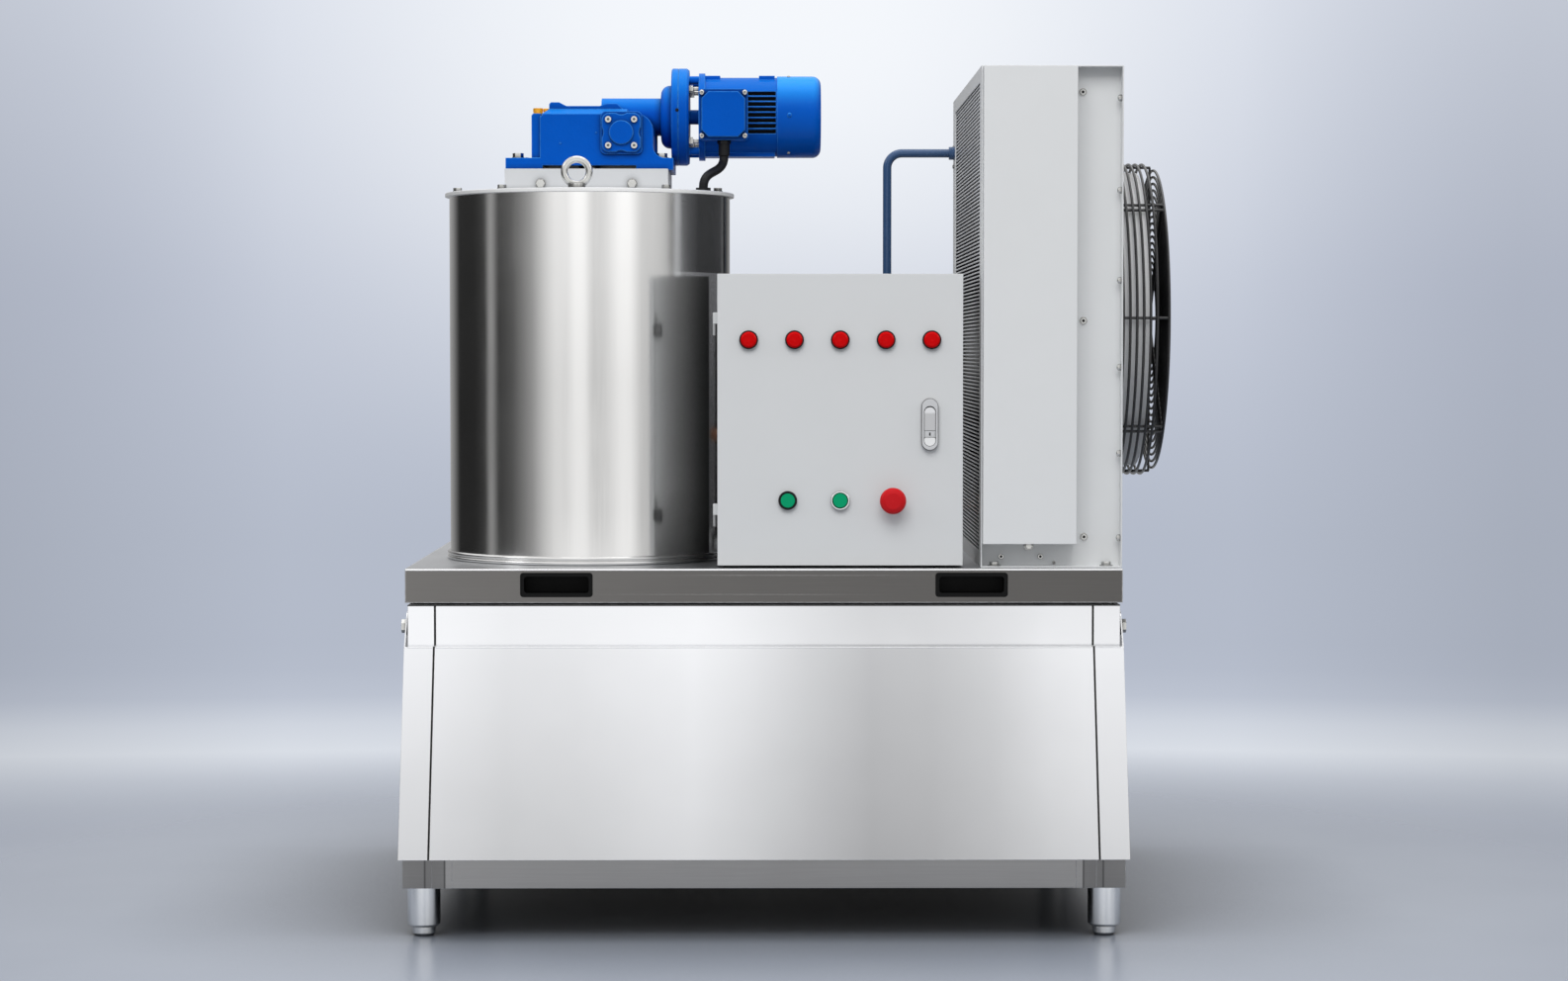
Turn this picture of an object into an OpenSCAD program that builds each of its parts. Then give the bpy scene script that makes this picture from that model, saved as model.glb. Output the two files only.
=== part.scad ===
// Flake ice machine: an insulated bin on a leg frame, a lift-up front hood, and a deck that
// carries the ice drum with its gear motor, an air-cooled condenser and a control box.
// Millimetres, +Z up, +Y to the back, the floor at Z = 0, the origin under the middle.

/* [Stand] */
// Diameter of a bullet foot
foot_dia = 36; // [28:1:44]
// Height of a bullet foot below its leg tube
foot_h = 15; // [10:1:40]
// Diameter of a leg tube
leg_dia = 51; // [40:1:60]
// Length of a leg tube
leg_h = 61; // [40:1:140]
// Wall of the leg tubes and of the frame rails
tube_wall = 2.5; // [1.5:0.1:4]
// Height of the frame rails
rail_h = 44; // [36:1:70]
// Width of the frame rails
rail_w = 60; // [54:1:80]

/* [Ice bin] */
// Height of the bin
bin_h = 384; // [340:2:520]
// Height of the upright band over the hood
band_h = 64; // [58:1:90]
// How far the sloping front stands out at its foot
slope_run = 105; // [60:1:160]
// Thickness of the outer sheets
sheet_t = 2; // [1:0.1:3]
// Thickness of the insulated tub wall
tub_wall = 38; // [25:1:45]
// Height of the seal between the bin and the deck
seal_h = 3; // [2:0.5:6]
// Width of the seal between the bin and the deck
seal_w = 25; // [12:1:34]

/* [Hood] */
// Distance from the bin front to the face of the hood
hood_depth = 18; // [14:1:40]
// Width of the two side columns of the hood
column_w = 45; // [30:1:70]
// Width of the shadow gap beside the centre panel
column_gap = 3; // [2:0.5:6]
// Depth of the cheek plates at the foot of the hood
cheek_d = 75; // [50:1:110]
// Height of the pivot over the top edge of the hood
pivot_up = 28; // [26:1:30]
// Distance of the pivot behind the bin band
pivot_back = 35; // [30:1:45]
// Radius of the cheek ear around the pivot
ear_r = 24; // [16:1:28]
// Diameter of the pivot bolt shank
pivot_dia = 12; // [8:1:16]

/* [Deck] */
// Height of the deck
deck_h = 53; // [46:1:80]
// Free depth of the deck behind the condenser
deck_back = 50; // [20:5:120]
// Free width of the deck left of the drum lid
deck_left = 37; // [10:1:80]
// Width of a recessed handle
handle_w = 113; // [100:1:140]
// Height of a recessed handle
handle_h = 38; // [32:1:42]
// Depth of a recessed handle
handle_d = 36; // [28:1:60]
// Distance from the middle of the deck to each handle
handle_x = 324; // [250:1:400]

/* [Drum] */
// Radius of the drum jacket
drum_r = 230; // [215:1:245]
// Height from the deck to the underside of the lid
drum_h = 591; // [540:1:700]
// How far the lid and its flange stand past the jacket
lid_over = 7; // [4:0.5:12]
// Thickness of the lid
lid_t = 6; // [4:0.5:10]
// Thickness of the insulation in the drum wall
foam_t = 33; // [25:1:40]
// Thickness of the freezing wall
ice_wall_t = 10; // [6:0.5:14]
// Height of the beaded ring at the foot of the drum
base_ring_h = 14; // [10:1:20]
// Diameter of the spindle
spindle_dia = 36; // [30:1:40]
// Distance between the scraper blade and the freezing wall
ice_gap = 1.5; // [1:0.1:4]

/* [Gear motor] */
// Height of the sheet pedestal on the lid
pedestal_h = 36; // [30:1:60]
// Width of the pedestal
pedestal_w = 263; // [250:1:290]
// Depth of the pedestal
pedestal_d = 230; // [200:1:260]
// Thickness of the gear housing foot
gear_foot_t = 19.5; // [16:0.5:24]
// Width of the gear housing foot
gear_foot_w = 272; // [240:1:290]
// Width of the gear housing body
gear_body_w = 197; // [186:1:198]
// Depth of the gear housing body
gear_body_d = 166; // [160:1:190]
// Height of the gear housing front over its foot
gear_body_h = 71; // [66:1:90]
// Height of the ridge on the gear housing
ridge_h = 20; // [16:1:30]
// Centre distance of the output worm pair
output_centres = 55; // [52:0.5:58]
// Centre distance of the input worm pair
input_centres = 33.5; // [32:0.5:36]
// Radius of the motor flange
flange_r = 80; // [72:1:90]
// Radius of the motor frame
motor_r = 65; // [60:1:72]
// Length of the motor frame
motor_len = 135; // [120:1:170]
// Length of the fan cowl
cowl_len = 66; // [55:1:90]
// Diameter of the motor conduit
conduit_dia = 14.5; // [10:0.5:16]

/* [Condenser] */
// Width of the condenser casing
cond_w = 222; // [200:1:280]
// Depth of the condenser casing
cond_d = 780; // [700:5:900]
// Height of the condenser casing
cond_h = 785; // [700:1:900]
// Distance from the deck front to the casing front
cond_front = 30; // [22:1:60]
// How far the casing stands past the deck on the right
cond_over = 2; // [0:0.5:10]
// Pitch of the coil fins
fin_pitch = 6; // [5:0.5:12]
// Width of the raised front cover
cover_w = 146; // [120:1:170]
// Depth of the recess in the casing front
front_recess = 25; // [15:1:40]
// How far the front cover stands out of the casing
cover_out = 22; // [10:1:22]
// Radius of the fan guard
guard_r = 261; // [250:1:280]
// Depth of the fan guard
guard_d = 92; // [80:1:120]
// Wire of the fan guard
wire_dia = 4.5; // [3:0.5:6]
// Distance between the rings of the fan guard
ring_pitch = 11; // [9:0.5:24]
// Inner radius of the fan ring
fan_ring_r = 242; // [236:1:244]
// Diameter of the hot gas pipe
gas_pipe_dia = 15; // [10:1:18]

/* [Control box] */
// Width of the control box
box_w = 384; // [340:2:460]
// Height of the control box
box_h = 456; // [430:2:560]
// Depth of the control box behind its door
box_d = 156; // [130:2:180]
// Distance from the deck front to the door
door_front = 20; // [10:1:40]
// Thickness of the door pan
door_t = 22; // [18:1:30]
// Height of the box feet on the deck
box_foot_h = 4; // [3:0.5:12]
// How far the box reaches past the right side of the drum
box_tuck = 17; // [5:1:30]
// Distance between the box and the condenser
box_gap = 29; // [15:1:60]
// Distance between lamps
lamp_pitch = 71.5; // [60:0.5:80]
// Distance of the lamps below the top of the door
lamp_down = 103; // [80:1:130]
// Distance of the buttons above the foot of the door
button_up = 102; // [80:1:130]
// Diameter of the holes for lamps and buttons
pilot_dia = 22; // [20:0.5:24]
// Travel of the push buttons
push_travel = 4; // [2:0.5:5]
// Diameter of the emergency stop head
stop_dia = 41; // [36:1:50]
// Width of the latch plate
latch_w = 27; // [25:1:34]
// Length of the latch plate
latch_len = 82; // [74:1:110]

/* [Hidden] */
$fn = 96;

// Clearances: pressed or seated sheets, moving faces, and running shafts
fit = 0.2;
free = 0.3;
run_fit = 0.05;

// Colours
steel = [0.72, 0.73, 0.74];
dark_steel = [0.48, 0.46, 0.45];
zinc = [0.66, 0.67, 0.66];
grey_paint = [0.83, 0.84, 0.84];
blue_paint = [0.03, 0.30, 0.68];
black = [0.07, 0.07, 0.08];
foam = [0.93, 0.88, 0.70];
copper = [0.72, 0.43, 0.28];

// Widths, left to right: drum, control box, condenser
lid_r = drum_r + lid_over;
deck_w = deck_left + lid_r + drum_r - box_tuck + box_w + box_gap + cond_w - cond_over;
deck_x = deck_w / 2;
drum_x = deck_left + lid_r - deck_x;
box_x0 = drum_x + drum_r - box_tuck;
box_x1 = box_x0 + box_w;
cond_x0 = box_x1 + box_gap;
cond_x1 = cond_x0 + cond_w;

// Depths, front to back
door_seam = 2;
box_y0 = door_front + door_t + door_seam;
box_y1 = box_y0 + box_d;
drum_clear = 23;
drum_y = box_y1 + drum_clear + sqrt(pow(drum_r, 2) - pow(drum_r - box_tuck, 2));
deck_d = cond_front + cond_d + deck_back;
cond_y1 = cond_front + cond_d;

// Heights, floor to lid
rail_z0 = foot_h + leg_h;
bin_z0 = rail_z0 + rail_h;
bin_z1 = bin_z0 + bin_h;
kink_z = bin_z1 - band_h;
deck_z0 = bin_z1 + seal_h;
deck_z1 = deck_z0 + deck_h;
lid_z0 = deck_z1 + drum_h;
lid_z1 = lid_z0 + lid_t;

// Bin front: an upright band, then a slope down to the frame
slope_h = kink_z - bin_z0;
slope_cos = cos(atan(slope_run / slope_h));
function front_y(z) = z >= kink_z ? 0 : -slope_run * (kink_z - z) / slope_h;
cheek_gap = 2;
hood_x = deck_x;
bin_x = hood_x - sheet_t - cheek_gap;

// The whole model is moved so that the origin lies under the middle of its box
bolt_head = 7;
bolt_washer = 1.5;
lip_z = bin_z0 + 2;
reach_left = hood_x + free + bolt_washer + bolt_head;
reach_right = cond_x1 + guard_d;
reach_front = front_y(lip_z) - hood_depth / slope_cos;
mid_x = (reach_right - reach_left) / 2;
mid_y = (reach_front + deck_d) / 2;
module place() translate([-mid_x, -mid_y, 0]) children();

// Shared shapes
module slab(x0, x1, y0, y1, z0, z1)
    translate([x0, y0, z0]) cube([x1 - x0, y1 - y0, z1 - z0]);
module rod_x(x0, x1, r, y, z)
    translate([x0, y, z]) rotate([0, 90, 0]) cylinder(r = r, h = x1 - x0);
module rod_y(y0, y1, r, x, z)
    translate([x, y0, z]) rotate([-90, 0, 0]) cylinder(r = r, h = y1 - y0);
module rod_z(z0, z1, r, x, y)
    translate([x, y, z0]) cylinder(r = r, h = z1 - z0);
// A side outline (Y, Z) carried from x0 to x1
module along_x(x0, x1)
    translate([x0, 0, 0]) rotate([90, 0, 90]) linear_extrude(x1 - x0) children();
// A front outline (X, Z) carried from y0 to y1
module along_y(y0, y1)
    translate([0, y1, 0]) rotate([90, 0, 0]) linear_extrude(y1 - y0) children();
// A turned outline (radius, length) on an axis along X
module turned_x(x0, y, z)
    translate([x0, y, z]) rotate([0, 90, 0]) rotate_extrude() children();
// A rectangle with round corners
module round_rect(w, h, r) {
    square([w - 2 * r, h], center = true);
    square([w, h - 2 * r], center = true);
    for (x = [-1, 1], y = [-1, 1]) translate([x * (w / 2 - r), y * (h / 2 - r)]) circle(r);
}
// A pipe through points joined by straight runs at right angles, with bends of one radius
function unit(v) = v / norm(v);
module bent_pipe(points, r, bend) {
    last = len(points) - 1;
    for (i = [0 : last - 1]) {
        dir = unit(points[i + 1] - points[i]);
        start = points[i] + dir * (i == 0 ? 0 : bend);
        stop = points[i + 1] - dir * (i == last - 1 ? 0 : bend);
        side = abs(dir.z) > 0.5 ? [1, 0, 0] : [0, 0, 1];
        frame_matrix(side, cross(dir, side), dir, start) cylinder(r = r, h = norm(stop - start));
    }
    for (i = [1 : 1 : last - 1]) {
        into = unit(points[i] - points[i - 1]);
        out = unit(points[i + 1] - points[i]);
        frame_matrix(-out, into, cross(into, out), points[i] + (out - into) * bend)
            rotate_extrude(angle = 90) translate([bend, 0]) circle(r, $fn = 32);
    }
}
module frame_matrix(x, y, z, at)
    multmatrix([
        [x.x, y.x, z.x, at.x],
        [x.y, y.y, z.y, at.y],
        [x.z, y.z, z.z, at.z]
    ]) children();

// Stand: welded rails, corner blocks and leg tubes
base_x = bin_x - 1;
base_y0 = front_y(bin_z0);
corner_w = 45;
collar_w = 31;
collar_t = 1.5;
leg_in = 30;
plug_h = 12;
stem_r = 8;
function leg_places() = [for (x = [-1, 1], y = [base_y0 + leg_in, deck_d - leg_in])
    [x * (base_x - leg_in), y, 0]];

rail_end_t = 4;
module rail(size) {
    long_x = size.x > size.y;
    bore = [for (i = [0, 1]) (i == 0) == long_x ? size[i] - 2 * rail_end_t : size[i] - 2 * tube_wall];
    difference() {
        cube(size);
        translate([(size.x - bore[0]) / 2, (size.y - bore[1]) / 2, tube_wall])
            cube([bore[0], bore[1], size.z - 2 * tube_wall]);
    }
}

module base_frame() color(dark_steel) {
    long_x = 2 * (base_x - corner_w);
    long_y = deck_d - base_y0 - 2 * rail_w;
    for (y = [base_y0, deck_d - rail_w]) translate([-long_x / 2, y, rail_z0])
        rail([long_x, rail_w, rail_h]);
    for (x = [-base_x, base_x - rail_w]) translate([x, base_y0 + rail_w, rail_z0])
        rail([rail_w, long_y, rail_h]);
    for (x = [-base_x, base_x - corner_w], y = [base_y0, deck_d - rail_w])
        translate([x, y, rail_z0]) cube([corner_w, rail_w, rail_h]);
    for (x = [corner_w - base_x, base_x - corner_w - collar_w])
        translate([x, base_y0 - collar_t, rail_z0]) cube([collar_w, collar_t, rail_h]);
    for (at = leg_places()) translate(at) leg_tube();
}
module leg_tube() {
    r = leg_dia / 2;
    chamfer = 3;
    rotate_extrude() polygon([
        [stem_r + run_fit, foot_h], [r - chamfer, foot_h], [r, foot_h + chamfer], [r, rail_z0],
        [r - tube_wall, rail_z0], [r - tube_wall, foot_h + plug_h], [stem_r + run_fit, foot_h + plug_h]
    ]);
}
module feet() color(steel) for (at = leg_places()) translate(at) {
    r = foot_dia / 2;
    edge = 4;
    rotate_extrude() polygon([
        [0, 0], [r - edge, 0], [r, edge], [r, foot_h - edge / 2], [r - edge / 2, foot_h],
        [stem_r, foot_h], [stem_r, foot_h + plug_h], [0, foot_h + plug_h]
    ]);
}

// Ice bin: a folded outer shell around an insulated tub, open to the front behind the hood
tub_in = sheet_t + fit;
cave_in = tub_in + tub_wall;
jamb = 20;
seam_depth = 1.2;
sill_z = bin_z0 + cave_in + 8;
head_z = kink_z - 15;
mouth_x = bin_x - cave_in - jamb;
function kink_at(t) = kink_z - t * (1 / slope_cos - 1) * slope_h / slope_run;
function bin_outline(t, top) = [
    [t, top], [t, kink_at(t)], [front_y(bin_z0 + t) + t / slope_cos, bin_z0 + t],
    [deck_d - t, bin_z0 + t], [deck_d - t, top]
];
// A layer of the sloping front between two heights and two distances from the bin
module front_slab(x0, x1, z0, z1, d0, d1)
    along_x(x0, x1) polygon([
        for (p = [[z0, d0], [z1, d0], [z1, d1], [z0, d1]])
            [front_y(p[0]) - p[1] / slope_cos, p[0]]
    ]);
module bin_mouth() front_slab(-mouth_x, mouth_x, sill_z, head_z, -2 * cave_in, 1);

module bin_shell() color(steel) difference() {
    along_x(-bin_x, bin_x) polygon(bin_outline(0, bin_z1));
    along_x(sheet_t - bin_x, bin_x - sheet_t) polygon(bin_outline(sheet_t, bin_z1 + 1));
    bin_mouth();
    for (s = [0, 1]) mirror([s, 0, 0])
        slab(panel_x, panel_x + column_gap, -1, seam_depth, kink_z, bin_z1 + 1);
}
module bin_tub() color("white") difference() {
    along_x(tub_in - bin_x, bin_x - tub_in) polygon(bin_outline(tub_in, bin_z1));
    along_x(cave_in - bin_x, bin_x - cave_in) polygon(bin_outline(cave_in, bin_z1 + 1));
    bin_mouth();
}
module deck_seal() color(black) {
    inset = tub_in + (tub_wall - seal_w) / 2;
    difference() {
        slab(inset - bin_x, bin_x - inset, inset, deck_d - inset, bin_z1, deck_z0);
        slab(inset + seal_w - bin_x, bin_x - inset - seal_w,
            inset + seal_w, deck_d - inset - seal_w, bin_z1 - 1, deck_z0 + 1);
    }
}

// Hood: two side columns and a centre panel on one inner sheet, hung from the bin sides
pan_back = 6;
seal_back = pan_back - sheet_t;
panel_x = hood_x - column_w - column_gap;
pivot_y = pivot_back;
pivot_z = kink_z + pivot_up;

module hood_pan(x0, x1) difference() {
    front_slab(x0, x1, lip_z, kink_z, pan_back, hood_depth);
    front_slab(x0 + sheet_t, x1 - sheet_t, lip_z + sheet_t, kink_z - sheet_t,
        pan_back - 1, hood_depth - sheet_t);
}
module hood_panel() color(steel) hood_pan(-panel_x, panel_x);
module hood_inner_panel() color(steel)
    front_slab(sheet_t + fit - hood_x, hood_x - sheet_t - fit, lip_z, kink_z, seal_back, pan_back);
module hood_seal() color(black) {
    band = 14;
    difference() {
        front_slab(-mouth_x - band, mouth_x + band, sill_z - band, kink_z - 1, free, seal_back);
        front_slab(-mouth_x, mouth_x, sill_z, head_z, -1, seal_back + 1);
    }
}
module hood_cheeks() color(steel) for (s = [0, 1]) mirror([s, 0, 0]) difference() {
    face_top = front_y(kink_z) - hood_depth / slope_cos;
    union() {
        hood_pan(hood_x - column_w, hood_x);
        along_x(hood_x - sheet_t, hood_x) {
            polygon([
                [face_top, kink_z], [reach_front, lip_z], [reach_front + cheek_d, lip_z],
                [pivot_y + ear_r, pivot_z], [pivot_y - ear_r * sin(45), pivot_z + ear_r * cos(45)]
            ]);
            translate([pivot_y, pivot_z]) circle(ear_r);
        }
    }
    rod_x(hood_x - 2 * sheet_t, hood_x + 1, pivot_dia / 2 + run_fit, pivot_y, pivot_z);
}
module pivot_bolts() color(zinc) for (s = [0, 1]) mirror([s, 0, 0]) {
    rod_x(bin_x, hood_x - sheet_t - free, pivot_dia / 2 + 8, pivot_y, pivot_z);
    rod_x(bin_x, hood_x + free, pivot_dia / 2, pivot_y, pivot_z);
    rod_x(hood_x + free, hood_x + free + bolt_washer, pivot_dia / 2 + 7, pivot_y, pivot_z);
    translate([hood_x + free + bolt_washer, pivot_y, pivot_z]) rotate([0, 90, 0])
        cylinder(d = 1.8 * pivot_dia, h = bolt_head, $fn = 6);
}

// Deck with the ice drop under the drum, and two cup handles let into its front
jacket_t = 1.5;
foam_r = drum_r - jacket_t - fit;
wall_r = foam_r - foam_t - fit;
ice_r = wall_r - ice_wall_t;
cup_rim = 4;
cup_wall = 2;
cup_proud = 1.5;
handle_z = deck_z0 + deck_h / 2 + 1.5;

module deck() color(dark_steel) difference() {
    slab(-deck_x, deck_x, 0, deck_d, deck_z0, deck_z1);
    rod_z(deck_z0 - 1, deck_z1 + 1, ice_r, drum_x, drum_y);
    for (x = [-handle_x, handle_x]) cup(x, -1, handle_d + fit, cup_rim - fit);
}
module cup(x, y0, y1, inset)
    along_y(y0, y1) translate([x, handle_z])
        round_rect(handle_w - 2 * inset, handle_h - 2 * inset, 5);
module recessed_handles() color(black) for (x = [-handle_x, handle_x]) difference() {
    union() {
        cup(x, -cup_proud, 0, 0);
        cup(x, -cup_proud / 2, handle_d, cup_rim);
    }
    cup(x, -cup_proud - 1, handle_d - cup_wall, cup_rim + cup_wall);
}

// Ice drum: a jacketed freezing wall with a scraper that turns inside it
spindle_r = spindle_dia / 2;
hub_z0 = deck_z1 + 10;
hub_floor = 6;
hub_h = 44;
spreader_z = lid_z0 - 52;

module drum_tube(z0, z1, r_out, r_in)
    translate([drum_x, drum_y, z0]) difference() {
        cylinder(r = r_out, h = z1 - z0);
        translate([0, 0, -1]) cylinder(r = r_in, h = z1 - z0 + 2);
    }
module drum_jacket() color(steel) drum_tube(deck_z1, lid_z0, drum_r, drum_r - jacket_t);
module drum_insulation() color(foam) drum_tube(deck_z1, lid_z0, foam_r, foam_r - foam_t);
module freezing_wall() color(zinc) drum_tube(deck_z1, lid_z0 - lid_t, wall_r, ice_r);
module drum_base_ring() color(steel) translate([drum_x, drum_y, deck_z1]) {
    bead_r = base_ring_h / 4;
    rotate_extrude() translate([drum_r + fit, 0]) {
        square([2, base_ring_h]);
        intersection() {
            square([lid_over, base_ring_h]);
            for (z = [bead_r, 3 * bead_r]) translate([lid_over - bead_r - 2, z]) circle(bead_r);
        }
    }
}
module drum_lid() color(steel) translate([drum_x, drum_y, lid_z0]) {
    hole_r = spindle_r + 12;
    edge = 1;
    rotate_extrude() polygon([
        [hole_r, 0], [lid_r, 0], [lid_r, lid_t - edge], [lid_r - edge, lid_t], [hole_r, lid_t]
    ]);
}
module bearing_spider() color(zinc) translate([drum_x, drum_y, hub_z0]) {
    hub_r = spindle_r + 20;
    arm_w = 16;
    difference() {
        union() {
            cylinder(r = hub_r, h = hub_h);
            intersection() {
                cylinder(r = ice_r - fit, h = hub_h);
                for (a = [90, 210, 330]) rotate(a) translate([0, -arm_w / 2, 0])
                    cube([ice_r + 1, arm_w, 0.7 * hub_h]);
            }
        }
        translate([0, 0, hub_floor]) cylinder(r = spindle_r + run_fit, h = hub_h);
    }
}
module spindle() color(zinc)
    rod_z(hub_z0 + hub_floor + free, cross_z + wheel_w / 2 + 4, spindle_r, drum_x, drum_y);
module ice_scraper() color(steel) translate([drum_x, drum_y, 0]) {
    z0 = hub_z0 + hub_h + 20;
    blade_h = spreader_z - 20 - z0;
    sweep = 70;
    arms = 5;
    sleeve_h = 34;
    blade_w = 20;
    blade_t = 7;
    blade_r = ice_r - ice_gap;
    translate([0, 0, z0]) linear_extrude(blade_h, twist = -sweep, slices = 24)
        translate([blade_r - blade_w, -blade_t / 2]) square([blade_w, blade_t]);
    for (i = [0 : arms - 1]) {
        share = (i + 0.5) / arms;
        translate([0, 0, z0 + share * blade_h - sleeve_h / 2]) rotate(share * sweep) difference() {
            union() {
                cylinder(r = spindle_r + 12, h = sleeve_h);
                translate([0, -8, sleeve_h / 2 - 10]) cube([blade_r - blade_w / 2, 16, 20]);
            }
            translate([0, 0, -1]) cylinder(r = spindle_r + fit, h = sleeve_h + 2);
        }
    }
}
module water_spreader() color(steel) translate([drum_x, drum_y, spreader_z]) {
    pan_r = 74;
    pan_h = 30;
    wall = 3;
    spout_r = 6;
    rotate_extrude() polygon([
        [spindle_r + fit, 0], [pan_r, 0], [pan_r, pan_h], [pan_r - wall, pan_h], [pan_r - wall, wall],
        [spindle_r + fit + wall, wall], [spindle_r + fit + wall, pan_h], [spindle_r + fit, pan_h]
    ]);
    for (a = [0 : 60 : 300]) rotate(a)
        rod_x(pan_r - wall / 2, ice_r - 12, spout_r, 0, wall + spout_r + 2);
}

// Lifting eyes and hex bolts on the lid
eye_hole = 14;
eye_wire = 5.7;
eye_left = 10;
eye_foot_h = 7;
bolt_circle = drum_r - 8;
eye_circle = drum_r - 20;
lid_bolt_step = 36;
module eye_bolts() color(zinc) for (s = [-1, 1])
    translate([drum_x - eye_left, drum_y + s * eye_circle, lid_z1]) {
        cylinder(r = eye_hole, h = eye_foot_h);
        translate([0, 0, eye_hole + 2 * eye_wire + fit]) rotate([90, 0, 0])
            rotate_extrude() translate([eye_hole + eye_wire, 0]) circle(eye_wire);
    }
module hex_bolt(size) {
    cylinder(d = 2 * size, h = 0.2 * size, $fn = 48);
    translate([0, 0, 0.2 * size]) cylinder(d = 1.8 * size, h = 0.65 * size, $fn = 6);
}
// A cap screw with a socket in its head
module cap_screw() difference() {
    cylinder(r = 5, h = 4);
    translate([0, 0, 1.5]) cylinder(r = 2.4, h = 4, $fn = 6);
}
module hex_bolts() color(zinc) {
    for (i = [1 : 9]) if (i != 5)
        translate([drum_x, drum_y, lid_z1]) rotate(i * lid_bolt_step - 90) translate([bolt_circle, 0, 0])
            hex_bolt(8);
    for (x = [-1, 1], y = [gear_y0 + 22, gear_y1 - 22])
        translate([gear_x + x * (gear_foot_w / 2 - foot_bolt_in), y, gear_foot_z]) hex_bolt(10);
    for (x = [-1, 1]) translate([drum_x + x * 0.28 * pedestal_w, ped_y0, (lid_z1 + gear_z0) / 2 - 6])
        rotate([90, 0, 0]) hex_bolt(8);
    for (x = [-1, 1], z = [-1, 1])
        translate([cross_x + x * cover_bolt, gear_y0 - cover_t, cross_z + z * cover_bolt])
            rotate([90, 0, 0]) cap_screw();
    for (y = [-stud_y, stud_y], z = [-stud_z, stud_z])
        translate([housing_end + adapter_len, motor_y + y, motor_z + z]) rotate([0, 90, 0]) {
            cylinder(r = 3.5, h = shield_gap);
            cylinder(d = 14, h = 7, $fn = 6);
        }
}
// Gearbox: a double worm reducer on a sheet pedestal
ped_y0 = drum_y - pedestal_d / 2 + 5;
gear_z0 = lid_z1 + pedestal_h;
gear_foot_z = gear_z0 + gear_foot_t;
gear_top = gear_foot_z + gear_body_h;
gear_x = drum_x + 3;
gear_y0 = drum_y - 72;
gear_y1 = gear_y0 + gear_body_d;
cross_x = drum_x + output_centres;
cross_up = 40.5;
cross_z = gear_foot_z + cross_up;
motor_y = drum_y + 50;
motor_z = cross_z + input_centres;
worm_gap = 0.5;
output_worm_r = 12;
input_worm_r = 11;
wheel_w = 22;
input_wheel_w = 16;
wheel_r = output_centres - 9;
input_wheel_r = input_centres - 9.5;
shaft_r = 8;
motor_shaft_r = 7;
chamber = 4;
end_wall = 12;
cover_t = 10;
cover_base_t = 4;
bearing_cover_w = 62;
foot_bolt_in = 19;
cover_bolt = 21;
worm_end = cross_x - 31;
housing_end = cross_x + 61;
body_left = gear_body_w / 2 - 4.5;
body_right = gear_body_w / 2 + 4.5;
step_in = 14;
roof_h = 8.6;
roof_run = 14;

module gearbox_pedestal() color(grey_paint) difference() {
    wall = 3;
    x0 = drum_x - pedestal_w / 2;
    x1 = drum_x + pedestal_w / 2;
    y1 = ped_y0 + pedestal_d;
    slab(x0, x1, ped_y0, y1, lid_z1, gear_z0);
    slab(x0 + wall, x1 - wall, ped_y0 + wall, y1 - wall, lid_z1 - 1, gear_z0 - wall);
    rod_z(lid_z1, gear_z0 + 1, spindle_r + 8, drum_x, drum_y);
}
// Points on a part of a circle, for the round corners of an outline
function arc(x, z, r, from, to) = [for (i = [0 : 6]) let (a = from + (to - from) * i / 6)
    [x + r * cos(a), z + r * sin(a)]];
module gear_housing() color(blue_paint) difference() {
    union() {
        along_y(gear_y0, gear_y1) translate([gear_x, 0]) gear_front();
        along_y(gear_y0, gear_y0 + 8) translate([gear_x, 0]) gear_apron();
        along_y(gear_y0 + 4, gear_y1 - 4) translate([gear_x, 0]) gear_step();
        gear_roof();
        along_y(gear_y0 + roof_run + 2, gear_y1 - roof_run) translate([gear_x, 0]) gear_ridge();
        rod_x(worm_end - 6, housing_end, 31, motor_y, motor_z);
        rod_z(gear_foot_z - 1, motor_z, 30, housing_end - 36, motor_y);
    }
    rod_z(gear_z0 - 1, cross_z + wheel_w / 2 + 6, spindle_r + run_fit, drum_x, drum_y);
    rod_z(cross_z - wheel_w / 2 - 3, cross_z + wheel_w / 2 + 3, wheel_r + chamber, drum_x, drum_y);
    rod_y(gear_y0 + end_wall, gear_y1 - end_wall, shaft_r + run_fit, cross_x, cross_z);
    rod_y(drum_y - 32, drum_y + 32, output_worm_r + 2, cross_x, cross_z);
    rod_y(motor_y - input_wheel_w / 2 - 3, motor_y + input_wheel_w / 2 + 3,
        input_wheel_r + chamber, cross_x, cross_z);
    rod_x(worm_end - 4, worm_end + 8, motor_shaft_r + run_fit, motor_y, motor_z);
    rod_x(worm_end + 7, housing_end + 1, input_worm_r + 3, motor_y, motor_z);
    rod_x(housing_end + bell_len - 1, housing_end + adapter_len, flange_r + 1, motor_y, motor_z);
}
// Foot with a relieved middle, and the main block with a round right shoulder
module gear_front() {
    foot = gear_foot_w / 2;
    left = body_left - step_in;
    recess = 7.4;
    pad = 60;
    corner = 5;
    shoulder = 26;
    polygon(concat(
        [[-foot, gear_z0], [pad - foot, gear_z0], [pad - foot, gear_z0 + recess],
            [foot - pad, gear_z0 + recess], [foot - pad, gear_z0], [foot, gear_z0], [foot, gear_foot_z],
            [body_right, gear_foot_z]],
        arc(body_right - shoulder, gear_top - shoulder, shoulder, 0, 90),
        [[corner - left, gear_top], [-left, gear_top - corner], [-left, gear_foot_z], [-foot, gear_foot_z]]
    ));
}
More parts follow.
